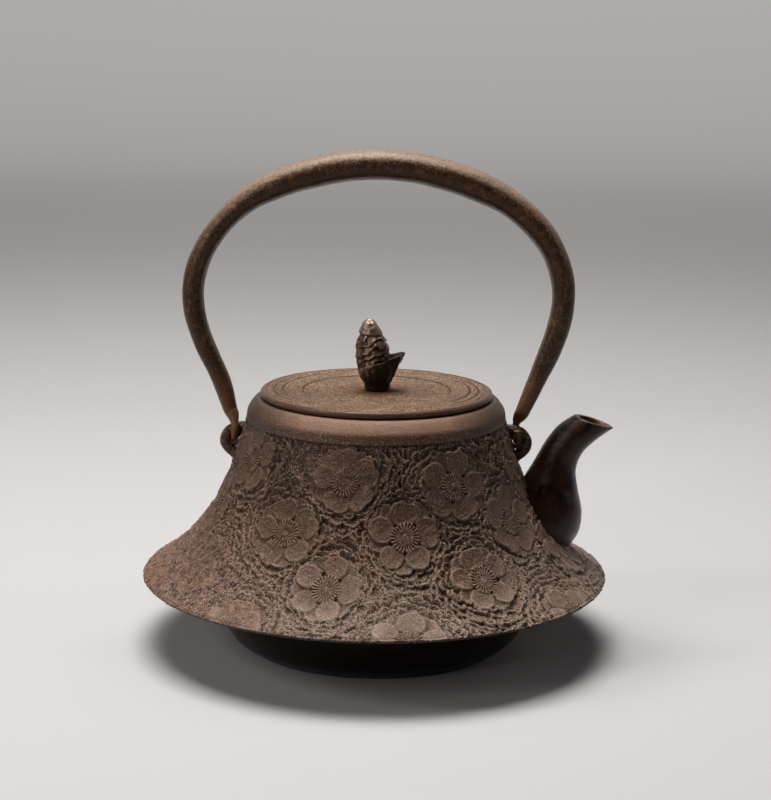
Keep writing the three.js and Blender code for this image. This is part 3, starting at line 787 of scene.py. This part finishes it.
def cast_body_finish(look):
    """Brown lacquered casting: painted shade in the hollows, paler tops with a painted highlight on the
    crests, rust low on the left, and sand grain.
    """
    f = Finish("cast_body", specular_ior_level=0.42, specular_tint=(1, 0.8, 0.66, 1))
    x, _, z = f.parts(f.place)
    relief, petal, rubbed = f.kept("relief"), f.kept("petal"), f.kept("rubbed")
    across, upward = f.kept("across"), f.kept("upward")
    grain, fine, speck = f.noise(1.1, 4, 0.7), f.noise(0.4, 2), f.noise(0.55, 2, 0.5)
    patch, drift = f.noise(14, 3, 0.6, 0.6), f.noise(26, 2, 0.5)
    brown, shade_and_pits = look.brown, look.shade_and_pits
    pale = shade(brown, 1.7, 0.03)
    # Ribbed discs of stamens
    away = across.maths("SQRT", across * across + upward * upward)
    spoke = across.maths("ARCTAN2", upward, across) * RIBS
    disc = away.between(STAMENS + 0.1, STAMENS - 0.3) * (1 - rubbed * 0.8)
    gap = disc * away.between(1.1, 1.7) * spoke.maths("COSINE", spoke).between(0.3, -0.4)
    # Raised parts over painted shade in the hollows, with a painted highlight on the crests except on the
    # plain band
    plain = z.between(0.0973, 0.0985)
    out_of_hollow_shade = relief.between(0.28, 0.64).larger(disc)
    f.tone = shade_and_pits
    f.coat(out_of_hollow_shade, brown)
    # Painted highlight on the crests of the relief
    f.coat(relief.between(0.54, 0.85) * (1 - plain) * 0.7, shade(brown, 2, 0.05))
    # Rust low on the left, pale ash low on the rest that is partly painted light on the skirt, dark lacquer
    # in patches, and painted shade higher up
    low = (0.062 - z).between(0, 0.03)
    left = (-0.03 - x).between(0, 0.06)
    bloom = low * left * patch.between(0.32, 0.55)
    spots = f.noise(5, 4, 0.7).between(0.6, 0.72) * low * 0.5
    f.coat(bloom.larger(spots) * out_of_hollow_shade * 0.8, look.rust)
    # Pale ash grey low down, partly painted light on the skirt that faces up
    f.coat(low * patch.between(0.75, 0.35) * (0.9 - 0.8 * left) * out_of_hollow_shade, ASH_AND_SKIRT_LIGHT)
    f.coat(patch.between(0.56, 0.36) * (1 - low) * (1 - plain) * 0.45, shade(brown, 0.35))
    # Painted shade, darker higher up the wall
    f.coat(z.between(0.052, 0.08) * (1 - plain) * (0.25 + 0.6 * drift.between(0.42, 0.6)), shade(brown, 0.2))
    f.coat(petal * (1 - low) * (1 - disc) * 0.55, PETAL_BROWN)
    # Grain and specks, and pale sand low down and on the right; the bright specks and the sand are partly
    # painted glints
    crisp = (1 - 0.3 * plain) * (1 - 0.5 * petal)
    f.coat(grain.between(0.5, 0.36) * crisp * 0.85, shade_and_pits)
    f.coat(grain.between(0.58, 0.7) * crisp * 0.6, pale)
    f.coat(speck.between(0.48, 0.36) * crisp * 0.8, shade(brown, 0.15))
    # Bright specks: sand grain and painted glints
    f.coat(speck.between(0.58, 0.67) * crisp * 0.85, shade(brown, 2.3, 0.1))
    sandy = (low + x.between(0.02, 0.06)).between(0, 1) * (1 - plain)
    # Pale sand grain with painted glints, low down and on the right
    f.coat(speck.between(0.57, 0.65) * sandy * (0.75 - 0.5 * petal), SAND_AND_GLINTS)
    f.coat(disc * away.between(2, 5) * 0.5, shade(brown, 1.8, 0.03))
    # Painted shade in the grooves between the stamens' ribs
    f.coat(gap * 0.9, shade_and_pits)
    # The band: a painted shadow line under it, a painted highlight on its upper part, and painted shade at
    # its ends towards the left and right
    f.coat(z.between(0.0979, 0.0977) * z.between(0.0962, 0.0974) * 0.8, shade_and_pits)
    f.coat(z.between(0.1008, 0.1025) * 0.6, pale)
    ends = (abs(x) + patch * 0.016).between(0.038, 0.056) * plain
    f.coat(ends * (0.6 + 0.4 * speck.between(0.6, 0.5)), shade(brown, 0.25))
    rough = 0.3 + 0.2 * grain - 0.1 * out_of_hollow_shade + 0.05 * plain + 0.08 * petal
    height = (grain * 0.7 + fine * 0.3) * (1 - 0.4 * plain) * (1 - 0.3 * petal) - gap * 0.5
    return f.feed(roughness=rough, normal=f.bump(height, 0.9))


def smooth_black_finish(look):
    """Near-black satin casting with faint brown wear and a fine sand skin."""
    f = Finish("cast_smooth", specular_ior_level=0.26, specular_tint=(1, 0.86, 0.76, 1))
    grain, patch = f.noise(0.8, 4), f.noise(9)
    high = f.parts(f.place)[2].between(0.03, 0.05)
    f.tone = look.black
    f.coat(patch.between(0.4, 0.66) * (0.2 + 0.8 * high), LACQUER)
    f.coat(f.noise(2, 4, 0.7).between(0.6, 0.72) * 0.7 * high, WORN_BLACK)
    f.coat(f.kept("inside"), CHANNEL_BROWN)
    rough = 0.1 + 0.14 * patch.between(0.35, 0.65) + 0.1 * grain
    return f.feed(roughness=rough, normal=f.bump(grain, 0.2))


def lid_finish(look):
    """Warm brown grainy lid with painted shade in its grooves, a smoother edge and a stain of rust round the
    knob's foot.
    """
    f = Finish("cast_lid", specular_ior_level=0.25, specular_tint=(1, 0.85, 0.7, 1))
    x, y, _ = f.parts(f.place)
    away = x.maths("SQRT", x * x + y * y)
    grain, fine, coarse = f.noise(0.9, 4, 0.75), f.noise(0.6, 2, 0.5), f.noise(1.4, 4, 0.7)
    patch = f.noise(12)
    bead = away.between(0.0462, 0.0474)
    dark, pale = shade(look.lid, 0.25), shade(look.lid, 1.75, 0.05)
    f.tone = look.lid
    f.coat(grain.between(0.5, 0.42) * 0.9, dark)
    f.coat(grain.between(0.54, 0.62) * 0.9, pale)
    f.coat(coarse.between(0.48, 0.38) * 0.6, dark)
    f.coat(coarse.between(0.54, 0.64) * 0.7, pale)
    f.coat(fine.between(0.47, 0.4) * 0.85, dark)
    f.coat(fine.between(0.53, 0.6) * 0.85, shade(look.lid, 2.1, 0.1))
    f.coat(patch.between(0.58, 0.4) * 0.35, shade(look.lid, 0.4))
    stain = away.between(0.018, 0.009) * (0.35 + 0.65 * f.noise(2.5).between(0.4, 0.6))
    f.coat(stain * 0.9, RUST_STAIN)
    # Painted shade along the grooves, uneven round them
    for groove in (FIELD, *GROOVES):
        near = abs(away - groove * MM).between(0.0005, 0.0002)
        f.coat(near * (0.3 + 0.7 * patch.between(0.35, 0.55)) * 0.85, GROOVE_SHADE)
    f.coat(bead * 0.8, BEAD_BROWN)
    rough = 0.5 + 0.25 * grain - 0.32 * bead
    height = (grain * 0.75 + fine * 0.25) * (1 - 0.85 * bead)
    return f.feed(roughness=rough, normal=f.bump(height, 0.7))


def forged_finish(look):
    """Forged sheet under brown lacquer with wear: mottling, pits, rubbed edges, rust low down, a painted
    highlight on top and along the seam's edges, and painted shade on the faces that look down.
    """
    f = Finish("forged", specular_ior_level=0.35, specular_tint=(1, 0.84, 0.7, 1))
    grain, pits, patch = f.noise(1.2, 4, 0.65), f.noise(0.5, 3, 0.7), f.noise(7, 4, 0.65, 0.8)
    speck = f.noise(0.6, 2, 0.5)
    z = f.parts(f.place)[2]
    facing = f.parts(f.node("ShaderNodeTexCoord", out="Normal"))[2]
    # Where the bail's top faces up, which gets a painted highlight
    top = (facing + 0.35 * grain).between(0.5, 0.95) * z.between(0.15, 0.19)
    side = (facing + 0.5 * patch).between(-0.2, 0.45)
    f.tone = look.forged
    f.coat(patch.between(0.6, 0.4) * 0.8, shade(look.forged, 0.3))
    f.coat(f.noise(3).between(0.54, 0.66) * 0.6, shade(look.rust, 1.1))
    f.coat(speck.between(0.56, 0.66) * 0.3, RUBBED)
    f.coat(speck.between(0.54, 0.64) * side * 0.6, RUBBED)
    f.coat((1 - side) * 0.6, SHADED)
    f.coat(z.between(0.12, 0.1) * (0.4 + 0.6 * patch), LOW_RUST)
    # Painted highlight on the bail's top
    f.coat(top * (0.5 + 0.5 * grain.between(0.4, 0.6)), TOP_HIGHLIGHT)
    # Painted highlight along the edges beside the seam
    f.coat(f.kept("lip") * 0.7, SEAM_HIGHLIGHT)
    f.coat(pits.between(0.42, 0.34) * 0.7, PIT)
    rough = 0.2 + 0.2 * patch + 0.1 * grain + 0.1 * top
    return f.feed(roughness=rough, normal=f.bump(grain * 0.6 + pits * 0.4, 0.3, 0.8))


def bronze_finish(look):
    """Dark patinated bronze, paler on the high parts, where it is rubbed and has a painted highlight, with
    painted shade in its furrows and low on its cup.
    """
    f = Finish("bronze", metallic=0.55, specular_ior_level=0.3)
    x, _, z = f.parts(f.place)
    patch, grain, relief = f.noise(2.2), f.noise(0.6), f.kept("relief")
    dark = shade(look.bronze, 0.12)
    f.tone = shade(look.bronze, 0.4)
    f.coat(patch.between(0.4, 0.62), look.bronze)
    # Painted shade in the furrows
    f.coat(relief.between(0.02, -0.12) * 0.9, dark)
    # Painted highlight on the ridges, with their rubbed bronze
    f.coat(relief.between(0, 0.12) * 0.85, shade(look.bronze, 2.6))
    # Painted shade on the cup, right of its keel
    f.coat((x * 1.2 - z).between(-0.125, -0.118) * 0.95, dark)
    # Painted shade low on the cup, under the bud
    f.coat((z + patch * 0.004).between(0.1195, 0.1165) * 0.8, dark)
    # The tip paler: rubbed bronze and a painted highlight
    f.coat(z.between(0.133, 0.137) * 0.7, BRIGHT_TIP)
    return f.feed(roughness=0.26 + 0.16 * patch, normal=f.bump(grain, 0.12, 0.8))


FINISHES = {
    "cast_body": cast_body_finish,
    "cast_smooth": smooth_black_finish,
    "cast_lid": lid_finish,
    "bronze": bronze_finish,
    "forged": forged_finish,
}


def dressed(piece, slot):
    """Gives a piece the finish of one of the record's material slots."""
    material = bpy.data.materials.get("kettle_" + slot)
    if material is None:
        material = FINISHES[slot](bpy.context.scene.kettle_finish)
        material.name = "kettle_" + slot
    piece.data.materials.clear()
    piece.data.materials.append(material)


def seated(piece, slot, body, *nodes):
    """Finishes a piece, hangs it on its body and lets it stand for the nodes."""
    dressed(piece, slot)
    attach(piece, body)
    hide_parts(*nodes)


# Pieces


def bore_object():
    """Solid of the spout's bore, which cuts the wall open."""
    rings = oval_rings(BORE_BACK, BORE_FRONT, BORE_WIDTH, 40, 48, SPOUT_WALL)[:22]
    return grid_object("bore", rings)


class KETTLE_OT_body(bpy.types.Operator):
    """Cast wall with the plum-blossom relief, the plain band, the mouth and the underside of the skirt"""

    bl_idname = "kettle.body"
    bl_label = "Body"

    def execute(self, context):
        shape = context.scene.kettle_shape
        columns = shape.columns
        wall = evened(spline(WALL_OUTLINE, 400), WALL_STEP)
        rim = [(SKIRT_RADIUS - 0.1, SKIRT_Z - 0.8), (SKIRT_RADIUS - 0.8, SKIRT_Z - 1.5)]
        under, inside = (evened(spline(line, 100), 4) for line in (UNDERSIDE_OUTLINE, HOLLOW_OUTLINE))
        seat = [(MOUTH_RADIUS, MOUTH_Z), (MOUTH_RADIUS, SHOULDER_Z)]
        outline = np.vstack([wall, rim, under, inside, seat])
        push, layers = relief_of(wall, columns, shape)
        rest = np.zeros((len(outline) - len(wall), columns))
        edge = 0.5 * np.repeat(np.minimum(push[-1:], 0), len(rim), axis=0)
        body = turned("body_casting", outline, columns, np.vstack([push, edge, rest[len(rim) :]]))
        for name, (values, beyond) in layers.items():
            values = np.vstack([values, rest + beyond])
            if name == "relief":
                # Painted shade on the skirt's rim
                values[len(wall) - 1 : len(wall) + len(rim)] = RIM_RELIEF
            paint(body, name, values)
        bore = bore_object()
        cut = body.modifiers.new("bore", "BOOLEAN")
        cut.operation = "DIFFERENCE"
        cut.solver = "MANIFOLD"
        cut.object = bore
        applied(body)
        bpy.data.objects.remove(bore)
        seated(body, "cast_body", "kettle", "body_shell")
        return {"FINISHED"}


class KETTLE_OT_pan(bpy.types.Operator):
    """Smooth round pan with a flat foot"""

    bl_idname = "kettle.pan"
    bl_label = "Pan"

    def execute(self, context):
        outside, inside = evened(spline(PAN_OUTSIDE, 100), 1.2), evened(spline(PAN_INSIDE, 60), 3)
        foot = [(r, 0) for r in (PINHOLE, 12, 26, 40, 50)]
        floor = [(r, CASTING) for r in (44, 30, 14, PINHOLE)]
        pan = turned("pan_casting", np.vstack([foot, outside, PAN_STEP, inside, floor]), 192)
        roughened(pan, 0.12, 9, 2, keep=lambda place: place.z < 0.5 * MM)
        seated(pan, "cast_smooth", "kettle", "base_pan")
        return {"FINISHED"}


class KETTLE_OT_spout(bpy.types.Operator):
    """Hollow S-curved spout whose root runs into the wall"""

    bl_idname = "kettle.spout"
    bl_label = "Spout"

    def execute(self, context):
        count, sides = 90, 72
        outside = oval_rings(SPOUT_BACK, SPOUT_FRONT, SPOUT_WIDTH, count, sides)
        bore = oval_rings(BORE_BACK, BORE_FRONT, BORE_WIDTH, count, sides, SPOUT_WALL)[::-1]
        lip = 0.5 * (outside[-1] + bore[0]) + np.array([0.12, 0, 0.3])
        rings = np.concatenate([outside, lip[None], bore])
        spout = grid_object("spout_casting", rings, endless=True)
        inside = np.zeros(rings.shape[:2])
        inside[len(outside) :] = 1
        paint(spout, "inside", inside)
        roughened(spout, 0.16, 7, 3, keep=lambda place: place.z > 98 * MM)
        seated(spout, "cast_smooth", "kettle", "spout")
        return {"FINISHED"}


class KETTLE_OT_lugs(bpy.types.Operator):
    """Rough cast loops that carry the bail, spreading a little where they leave the wall"""

    bl_idname = "kettle.lugs"
    bl_label = "Lugs"

    def execute(self, context):
        for name, side in (("left", -1), ("right", 1)):
            path = [(side * x, 0, z) for x, z in spline(LUG_PATH, 48)]
            t = np.linspace(0, 1, len(path))
            radius = LUG_ROD + 0.2 * step_between(0.5, 0.7, t) + 0.8 * step_between(0.88, 1, t)
            loop = rod(f"loop_{name}", path, radius, (0, 1, 0), 28, 0.12, 20 + side)
            web = grid_object("web", self.web(side), endless=True)
            root = grid_object("root", self.root(side))
            lug = joined(f"lug_loop_{name}", [loop, web, root])
            seated(lug, "cast_body", "kettle", f"lug_{name}")
            x, _, z = places_of(lug).T / MM
            from_hook = np.hypot(np.abs(x) - HOOK_X, z - (PIVOT_Z - HOOK_BEND))
            # Painted shade over the loop and the web round the hook
            paint(lug, "relief", LUG_RELIEF * step_between(2.6, 3.4, from_hook))
        return {"FINISHED"}

    def web(self, side):
        """Rings of the metal that closes the loop round the hook, with a hole for the hook to turn in.
        Painted dark, it also stands for the shade in the loop's eye.
        """
        angle = angles(48)
        rings = []
        for reach, y in LUG_WEB:
            x = side * (HOOK_X + reach * np.cos(angle))
            middle = PIVOT_Z - math.sqrt(HOOK_BEND**2 - y**2)
            rings.append(ring_of(x, y, middle + reach * np.sin(angle)))
        return np.array(rings)

    def root(self, side):
        """Rings of the swelling of the wall that the loop springs from."""
        wall, level, deep, wide, tall = 56, 88, 2.1, 2.6, 6
        angle = angles(24)
        rings = []
        for a in np.radians(np.linspace(4, 176, 16)):
            x = side * (wall + deep * math.sin(a) * np.cos(angle))
            rings.append(ring_of(x, wide * math.sin(a) * np.sin(angle), level - tall * math.cos(a)))
        return np.array(rings)


class KETTLE_OT_lid(bpy.types.Operator):
    """Flat grainy lid with a rounded bead, ring grooves, a sunken middle and a seating ring"""

    bl_idname = "kettle.lid"
    bl_label = "Lid"

    def execute(self, context):
        hole, bead, inner, flange, tall, thick = 2.1, 1.5, 40.4, 42.6, 6, 3.1
        groove = ((-1.4, 0), (-0.45, 0), (-0.2, 0.55), (0.2, 0.55), (0.45, 0))
        # The top as radius and depth under the lid's highest face
        top = [(r, 0.5) for r in (hole, *np.linspace(4, FIELD - 0.5, 14))]
        top += [(FIELD, 0.35), (FIELD + 0.5, 0.05)]
        top += [(radius + off, depth) for radius in GROOVES for off, depth in groove]
        top += [(46.1, 0), (46.5, 0.3), (46.9, 0.3), (47.4, 0)]
        top = [(radius, LID_TOP - depth) for radius, depth in top]
        turn = np.radians(np.linspace(90, -90, 13))
        edge = [(LID_RADIUS - bead + bead * math.cos(a), LID_TOP - bead + bead * math.sin(a)) for a in turn]
        foot = LID_Z - tall
        low = [(flange, LID_Z), (flange, foot + 0.6), (flange - 0.6, foot), (inner, foot)]
        low += [(r, LID_TOP - thick) for r in (inner, 30, 12, hole)]
        lid = turned("lid_disc", top + edge + low, 288)
        roughened(lid, 0.05, 5, 6)
        seated(lid, "cast_lid", "lid", "lid")
        return {"FINISHED"}


class KETTLE_OT_knob(bpy.types.Operator):
    """Wrinkled bronze bud that stands in a pointed cup, with its rivet and washer"""

    bl_idname = "kettle.knob"
    bl_label = "Knob"

    def execute(self, context):
        angle = angles(KNOB_SIDES)
        lip = np.clip(np.cos(angle), 0, 1) ** 3
        cup = []
        for z, middle, radius, point, rise in spline(CUP, 90):
            ridged = step_between(111.5, 114, z) * step_between(0.6, 1, radius / 7)
            r = radius + point * lip + 0.28 * ridged * np.cos(11 * angle + 0.25 * z + 1.5 * np.sin(3 * angle))
            level = z + rise * lip - 0.5 * max(0, z - 113) * (1 - (0.5 + 0.5 * np.cos(angle)) ** 0.6)
            cup.append(ring_of(middle + r * np.cos(angle), r * np.sin(angle), level))
        knob = joined("knob_bud", [grid_object("cup", np.array(cup)), grid_object("bud", self.bud())])
        remesh = knob.modifiers.new("skin", "REMESH")
        remesh.mode = "VOXEL"
        remesh.voxel_size = KNOB_VOXEL * MM
        soften = knob.modifiers.new("soften", "SMOOTH")
        soften.iterations = 2
        applied(knob)
        shade_smooth(knob.data)
        roughened(knob, 0.3, 1.8, 4, keep=lambda place: place.z < (KNOB_FOOT_Z + 0.6) * MM)
        paint(knob, "relief", standing_out(knob, 25))
        seated(knob, "bronze", "knob", "knob")
        dressed(frame["nodes"]["knob_rivet"], "bronze")
        dressed(frame["nodes"]["knob_washer"], "forged")
        return {"FINISHED"}

    def bud(self):
        """Rings of the bud: folds that rise to the right, one fold down its left, and a round tip."""
        along = wrapped(angles(KNOB_SIDES))
        rings = []
        for z, middle, radius in spline(BUD, 140):
            places = [Vector((math.cos(a) * 2.2, math.sin(a) * 2.2, z * 0.24)) for a in along]
            lumps = np.array([noise.noise(place) for place in places])
            # Folds one above another, each steep below and sloping above
            phase = ((z - 0.5 * radius * np.sin(along)) / FOLD_PITCH + 0.7 * lumps) % 1
            fold = (1 - phase) * step_between(0, 0.2, phase)
            folded = step_between(115, 118, z) * step_between(134, 131.5, z)
            left = step_between(114, 118, z) * step_between(133, 129, z)
            beside = 0.9 * np.exp(-(((along + 1.25) / 0.22) ** 2))
            beside -= 0.6 * np.exp(-(((along + 0.85) / 0.16) ** 2))
            tip = 133.4
            crease = -0.6 * math.exp(-(((z - tip) / 0.5) ** 2)) + 0.35 * step_between(tip, 135, z)
            r = radius - 0.3 + 1.5 * folded * (fold - 0.45) * (1 - 0.7 * step_between(-0.6, -1, along))
            r = r + left * beside + 0.35 * lumps * step_between(114, 118, z) + crease * min(1, radius / 3)
            rings.append(ring_of(middle + r * np.sin(along), -r * np.cos(along), z))
        return np.array(rings)


def joined(name, parts):
    """One object of several, with their places kept."""
    bpy.context.view_layer.update()
    points, faces = [], []
    for part in parts:
        base = len(points)
        points += [part.matrix_world @ v.co for v in part.data.vertices]
        faces += [[base + i for i in p.vertices] for p in part.data.polygons]
        bpy.data.objects.remove(part)
    return mesh_object(name, points, faces)


def sheet_section(depth, wide):
    """Folded sheet of the bail: its outer face and back along its inner one, open at the seam."""
    faces = []
    for inset in (0, BAIL_SHEET):
        d, w = depth - inset, wide - inset
        half = spline([(-1, BAIL_SEAM / w), *BAIL_SECTION, (1, 0)], 20) * (d, w)
        faces.append(np.vstack([half, half[-2::-1] * (1, -1)]))
    return np.vstack([faces[0], faces[1][::-1]])


class KETTLE_OT_bail(bpy.types.Operator):
    """Folded bail, open along a seam under it, and the forged hooks that wrap the lugs"""

    bl_idname = "kettle.bail"
    bl_label = "Bail"

    def execute(self, context):
        outer, inner = spline(BAIL_OUTER, BAIL_SPANS), spline(BAIL_INNER, BAIL_SPANS)
        width = np.interp(np.linspace(0, 1, BAIL_SPANS + 1), BAIL_WIDTH_AT, BAIL_WIDTH)
        blur = 12
        width = np.convolve(np.pad(width, blur, "edge"), np.ones(2 * blur + 1) / (2 * blur + 1), "valid")
        rings = rings_between(outer, inner, width, sheet_section)
        bail = grid_object("bail_tube", rings)
        # Edges beside the seam, which the finish paints with a highlight
        lip = np.zeros(rings.shape[:2])
        beside_seam = [0, 1, 2, 38, 39, 40]
        lip[:, beside_seam] = 1
        paint(bail, "lip", lip)
        roughened(bail, 0.2, 11, 5)
        roughened(bail, 0.07, 2.5, 6)
        seated(bail, "forged", "bail", "bail")
        self.hook("left", -1)
        self.hook("right", 1)
        return {"FINISHED"}

    def hook(self, name, side):
        """One hook. The left one comes down before its lug's top arm, and the right one behind."""
        turn = np.radians(np.arange(6) * 38)
        bend = [(HOOK_X, HOOK_BEND * math.cos(a), PIVOT_Z - HOOK_BEND * math.sin(a)) for a in turn]
        path = evened(spline([(side * x, side * y, z) for x, y, z in HOOK_LEAD + bend], 160), 0.35)
        radius = np.interp(np.minimum.accumulate(path[:, 2]), *zip(*HOOK_WIRE))
        hook = rod(f"hook_{name}", path, radius, (1, 0, 0), 24, 0.05, 30 + side)
        seated(hook, "forged", "bail", f"bail_hook_{name}")


class KETTLE_OT_stage(bpy.types.Operator):
    """Camera at the photograph's place, pale floor with a backdrop, and soft studio light"""

    bl_idname = "kettle.stage"
    bl_label = "Stage"

    def execute(self, context):
        look = context.scene.kettle_stage
        self.camera(look)
        self.floor(look)
        for lamp in LAMPS:
            self.lamp(*lamp)
        world = bpy.data.worlds.new("studio")
        world.use_nodes = True
        background = world.node_tree.nodes["Background"].inputs
        background["Color"].default_value = (1, 1, 1, 1)
        background["Strength"].default_value = look.ambient
        context.scene.world = world
        context.scene.view_settings.view_transform = "Standard"
        return {"FINISHED"}

    def camera(self, look):
        flat = math.cos(look.tilt)
        ahead = Vector((math.sin(look.turn) * flat, math.cos(look.turn) * flat, -math.sin(look.tilt)))
        level = ahead.cross(Vector((0, 0, 1))).normalized()
        up = level.cross(ahead)
        right = level * math.cos(look.roll) + up * math.sin(look.roll)
        above = up * math.cos(look.roll) - level * math.sin(look.roll)
        data = bpy.data.cameras.new("camera")
        data.lens = look.lens
        data.sensor_width = 36
        data.clip_start, data.clip_end = 0.01, 50
        camera = placed("camera", data)
        axes = Matrix((right, above, -ahead)).transposed()
        camera.matrix_world = Matrix.Translation((0, -look.distance, look.height)) @ axes.to_4x4()
        bpy.context.scene.camera = camera

    def floor(self, look):
        """One sheet that lies under the kettle and rises behind it in a soft curve."""
        bend, half, front, back, top = 0.8, 6.0, -6.0, 2.2, 6.0
        turn = np.linspace(0, math.pi / 2, 17)
        line = [(front, 0)] + [(back + bend * math.sin(a), bend * (1 - math.cos(a))) for a in turn]
        line.append((back + bend, top))
        points = [(x, y, z) for y, z in line for x in (-half, half)]
        faces = [(2 * i, 2 * i + 1, 2 * i + 3, 2 * i + 2) for i in range(len(line) - 1)]
        floor = mesh_object("floor", points, faces)
        paper = Finish("paper", roughness=0.9, specular_ior_level=0.1, emission_strength=1)
        seen = paper.node("ShaderNodeLightPath", out="Is Camera Ray")
        for ray in ("Is Glossy Ray", "Is Transmission Ray"):
            seen = seen.larger(paper.node("ShaderNodeLightPath", out=ray))
        # The kettle gets little light back from the paper, which glows towards its far end
        paper.tone = paper.mix(seen, shade(look.floor, 0.2), look.floor)
        far = seen * paper.parts(paper.place)[1].between(0.5, 3.0) * 0.8
        floor.data.materials.append(paper.feed(emission_color=paper.mix(far, (0, 0, 0), look.floor)))

    def lamp(self, name, place, target, width, depth, power):
        data = bpy.data.lights.new(name, "AREA")
        data.shape = "RECTANGLE"
        data.size, data.size_y = width, depth
        data.energy = power
        lamp = placed(name, data)
        lamp.location = place
        lamp.rotation_euler = (Vector(target) - Vector(place)).to_track_quat("-Z", "Y").to_euler()


class KETTLE_PT_panel(bpy.types.Panel):
    """Lists the kettle's sizes, colours and pieces"""

    bl_idname = "KETTLE_PT_panel"
    bl_label = "Kettle"
    bl_space_type = "VIEW_3D"
    bl_region_type = "UI"
    bl_category = "Kettle"

    def draw(self, context):
        for group in (context.scene.kettle_shape, context.scene.kettle_finish, context.scene.kettle_stage):
            box = self.layout.box()
            for name in group.__annotations__:
                box.prop(group, name)
        for operator in OPERATORS:
            self.layout.operator(operator.bl_idname)


OPERATORS = (
    KETTLE_OT_stage,
    KETTLE_OT_body,
    KETTLE_OT_pan,
    KETTLE_OT_spout,
    KETTLE_OT_lugs,
    KETTLE_OT_lid,
    KETTLE_OT_knob,
    KETTLE_OT_bail,
)
GROUPS = {"kettle_shape": KettleShape, "kettle_finish": KettleFinish, "kettle_stage": KettleStage}


def register():
    for group in GROUPS.values():
        bpy.utils.register_class(group)
    for name, group in GROUPS.items():
        setattr(bpy.types.Scene, name, PointerProperty(type=group))
    for operator in OPERATORS:
        bpy.utils.register_class(operator)
    bpy.utils.register_class(KETTLE_PT_panel)


def unregister():
    bpy.utils.unregister_class(KETTLE_PT_panel)
    for operator in reversed(OPERATORS):
        bpy.utils.unregister_class(operator)
    for name in GROUPS:
        delattr(bpy.types.Scene, name)
    for group in reversed(GROUPS.values()):
        bpy.utils.unregister_class(group)


def main():
    register()
    for operator in OPERATORS:
        group, name = operator.bl_idname.split(".")
        getattr(getattr(bpy.ops, group), name)()
    bpy.context.view_layer.update()


if __name__ == "__main__":
    main()
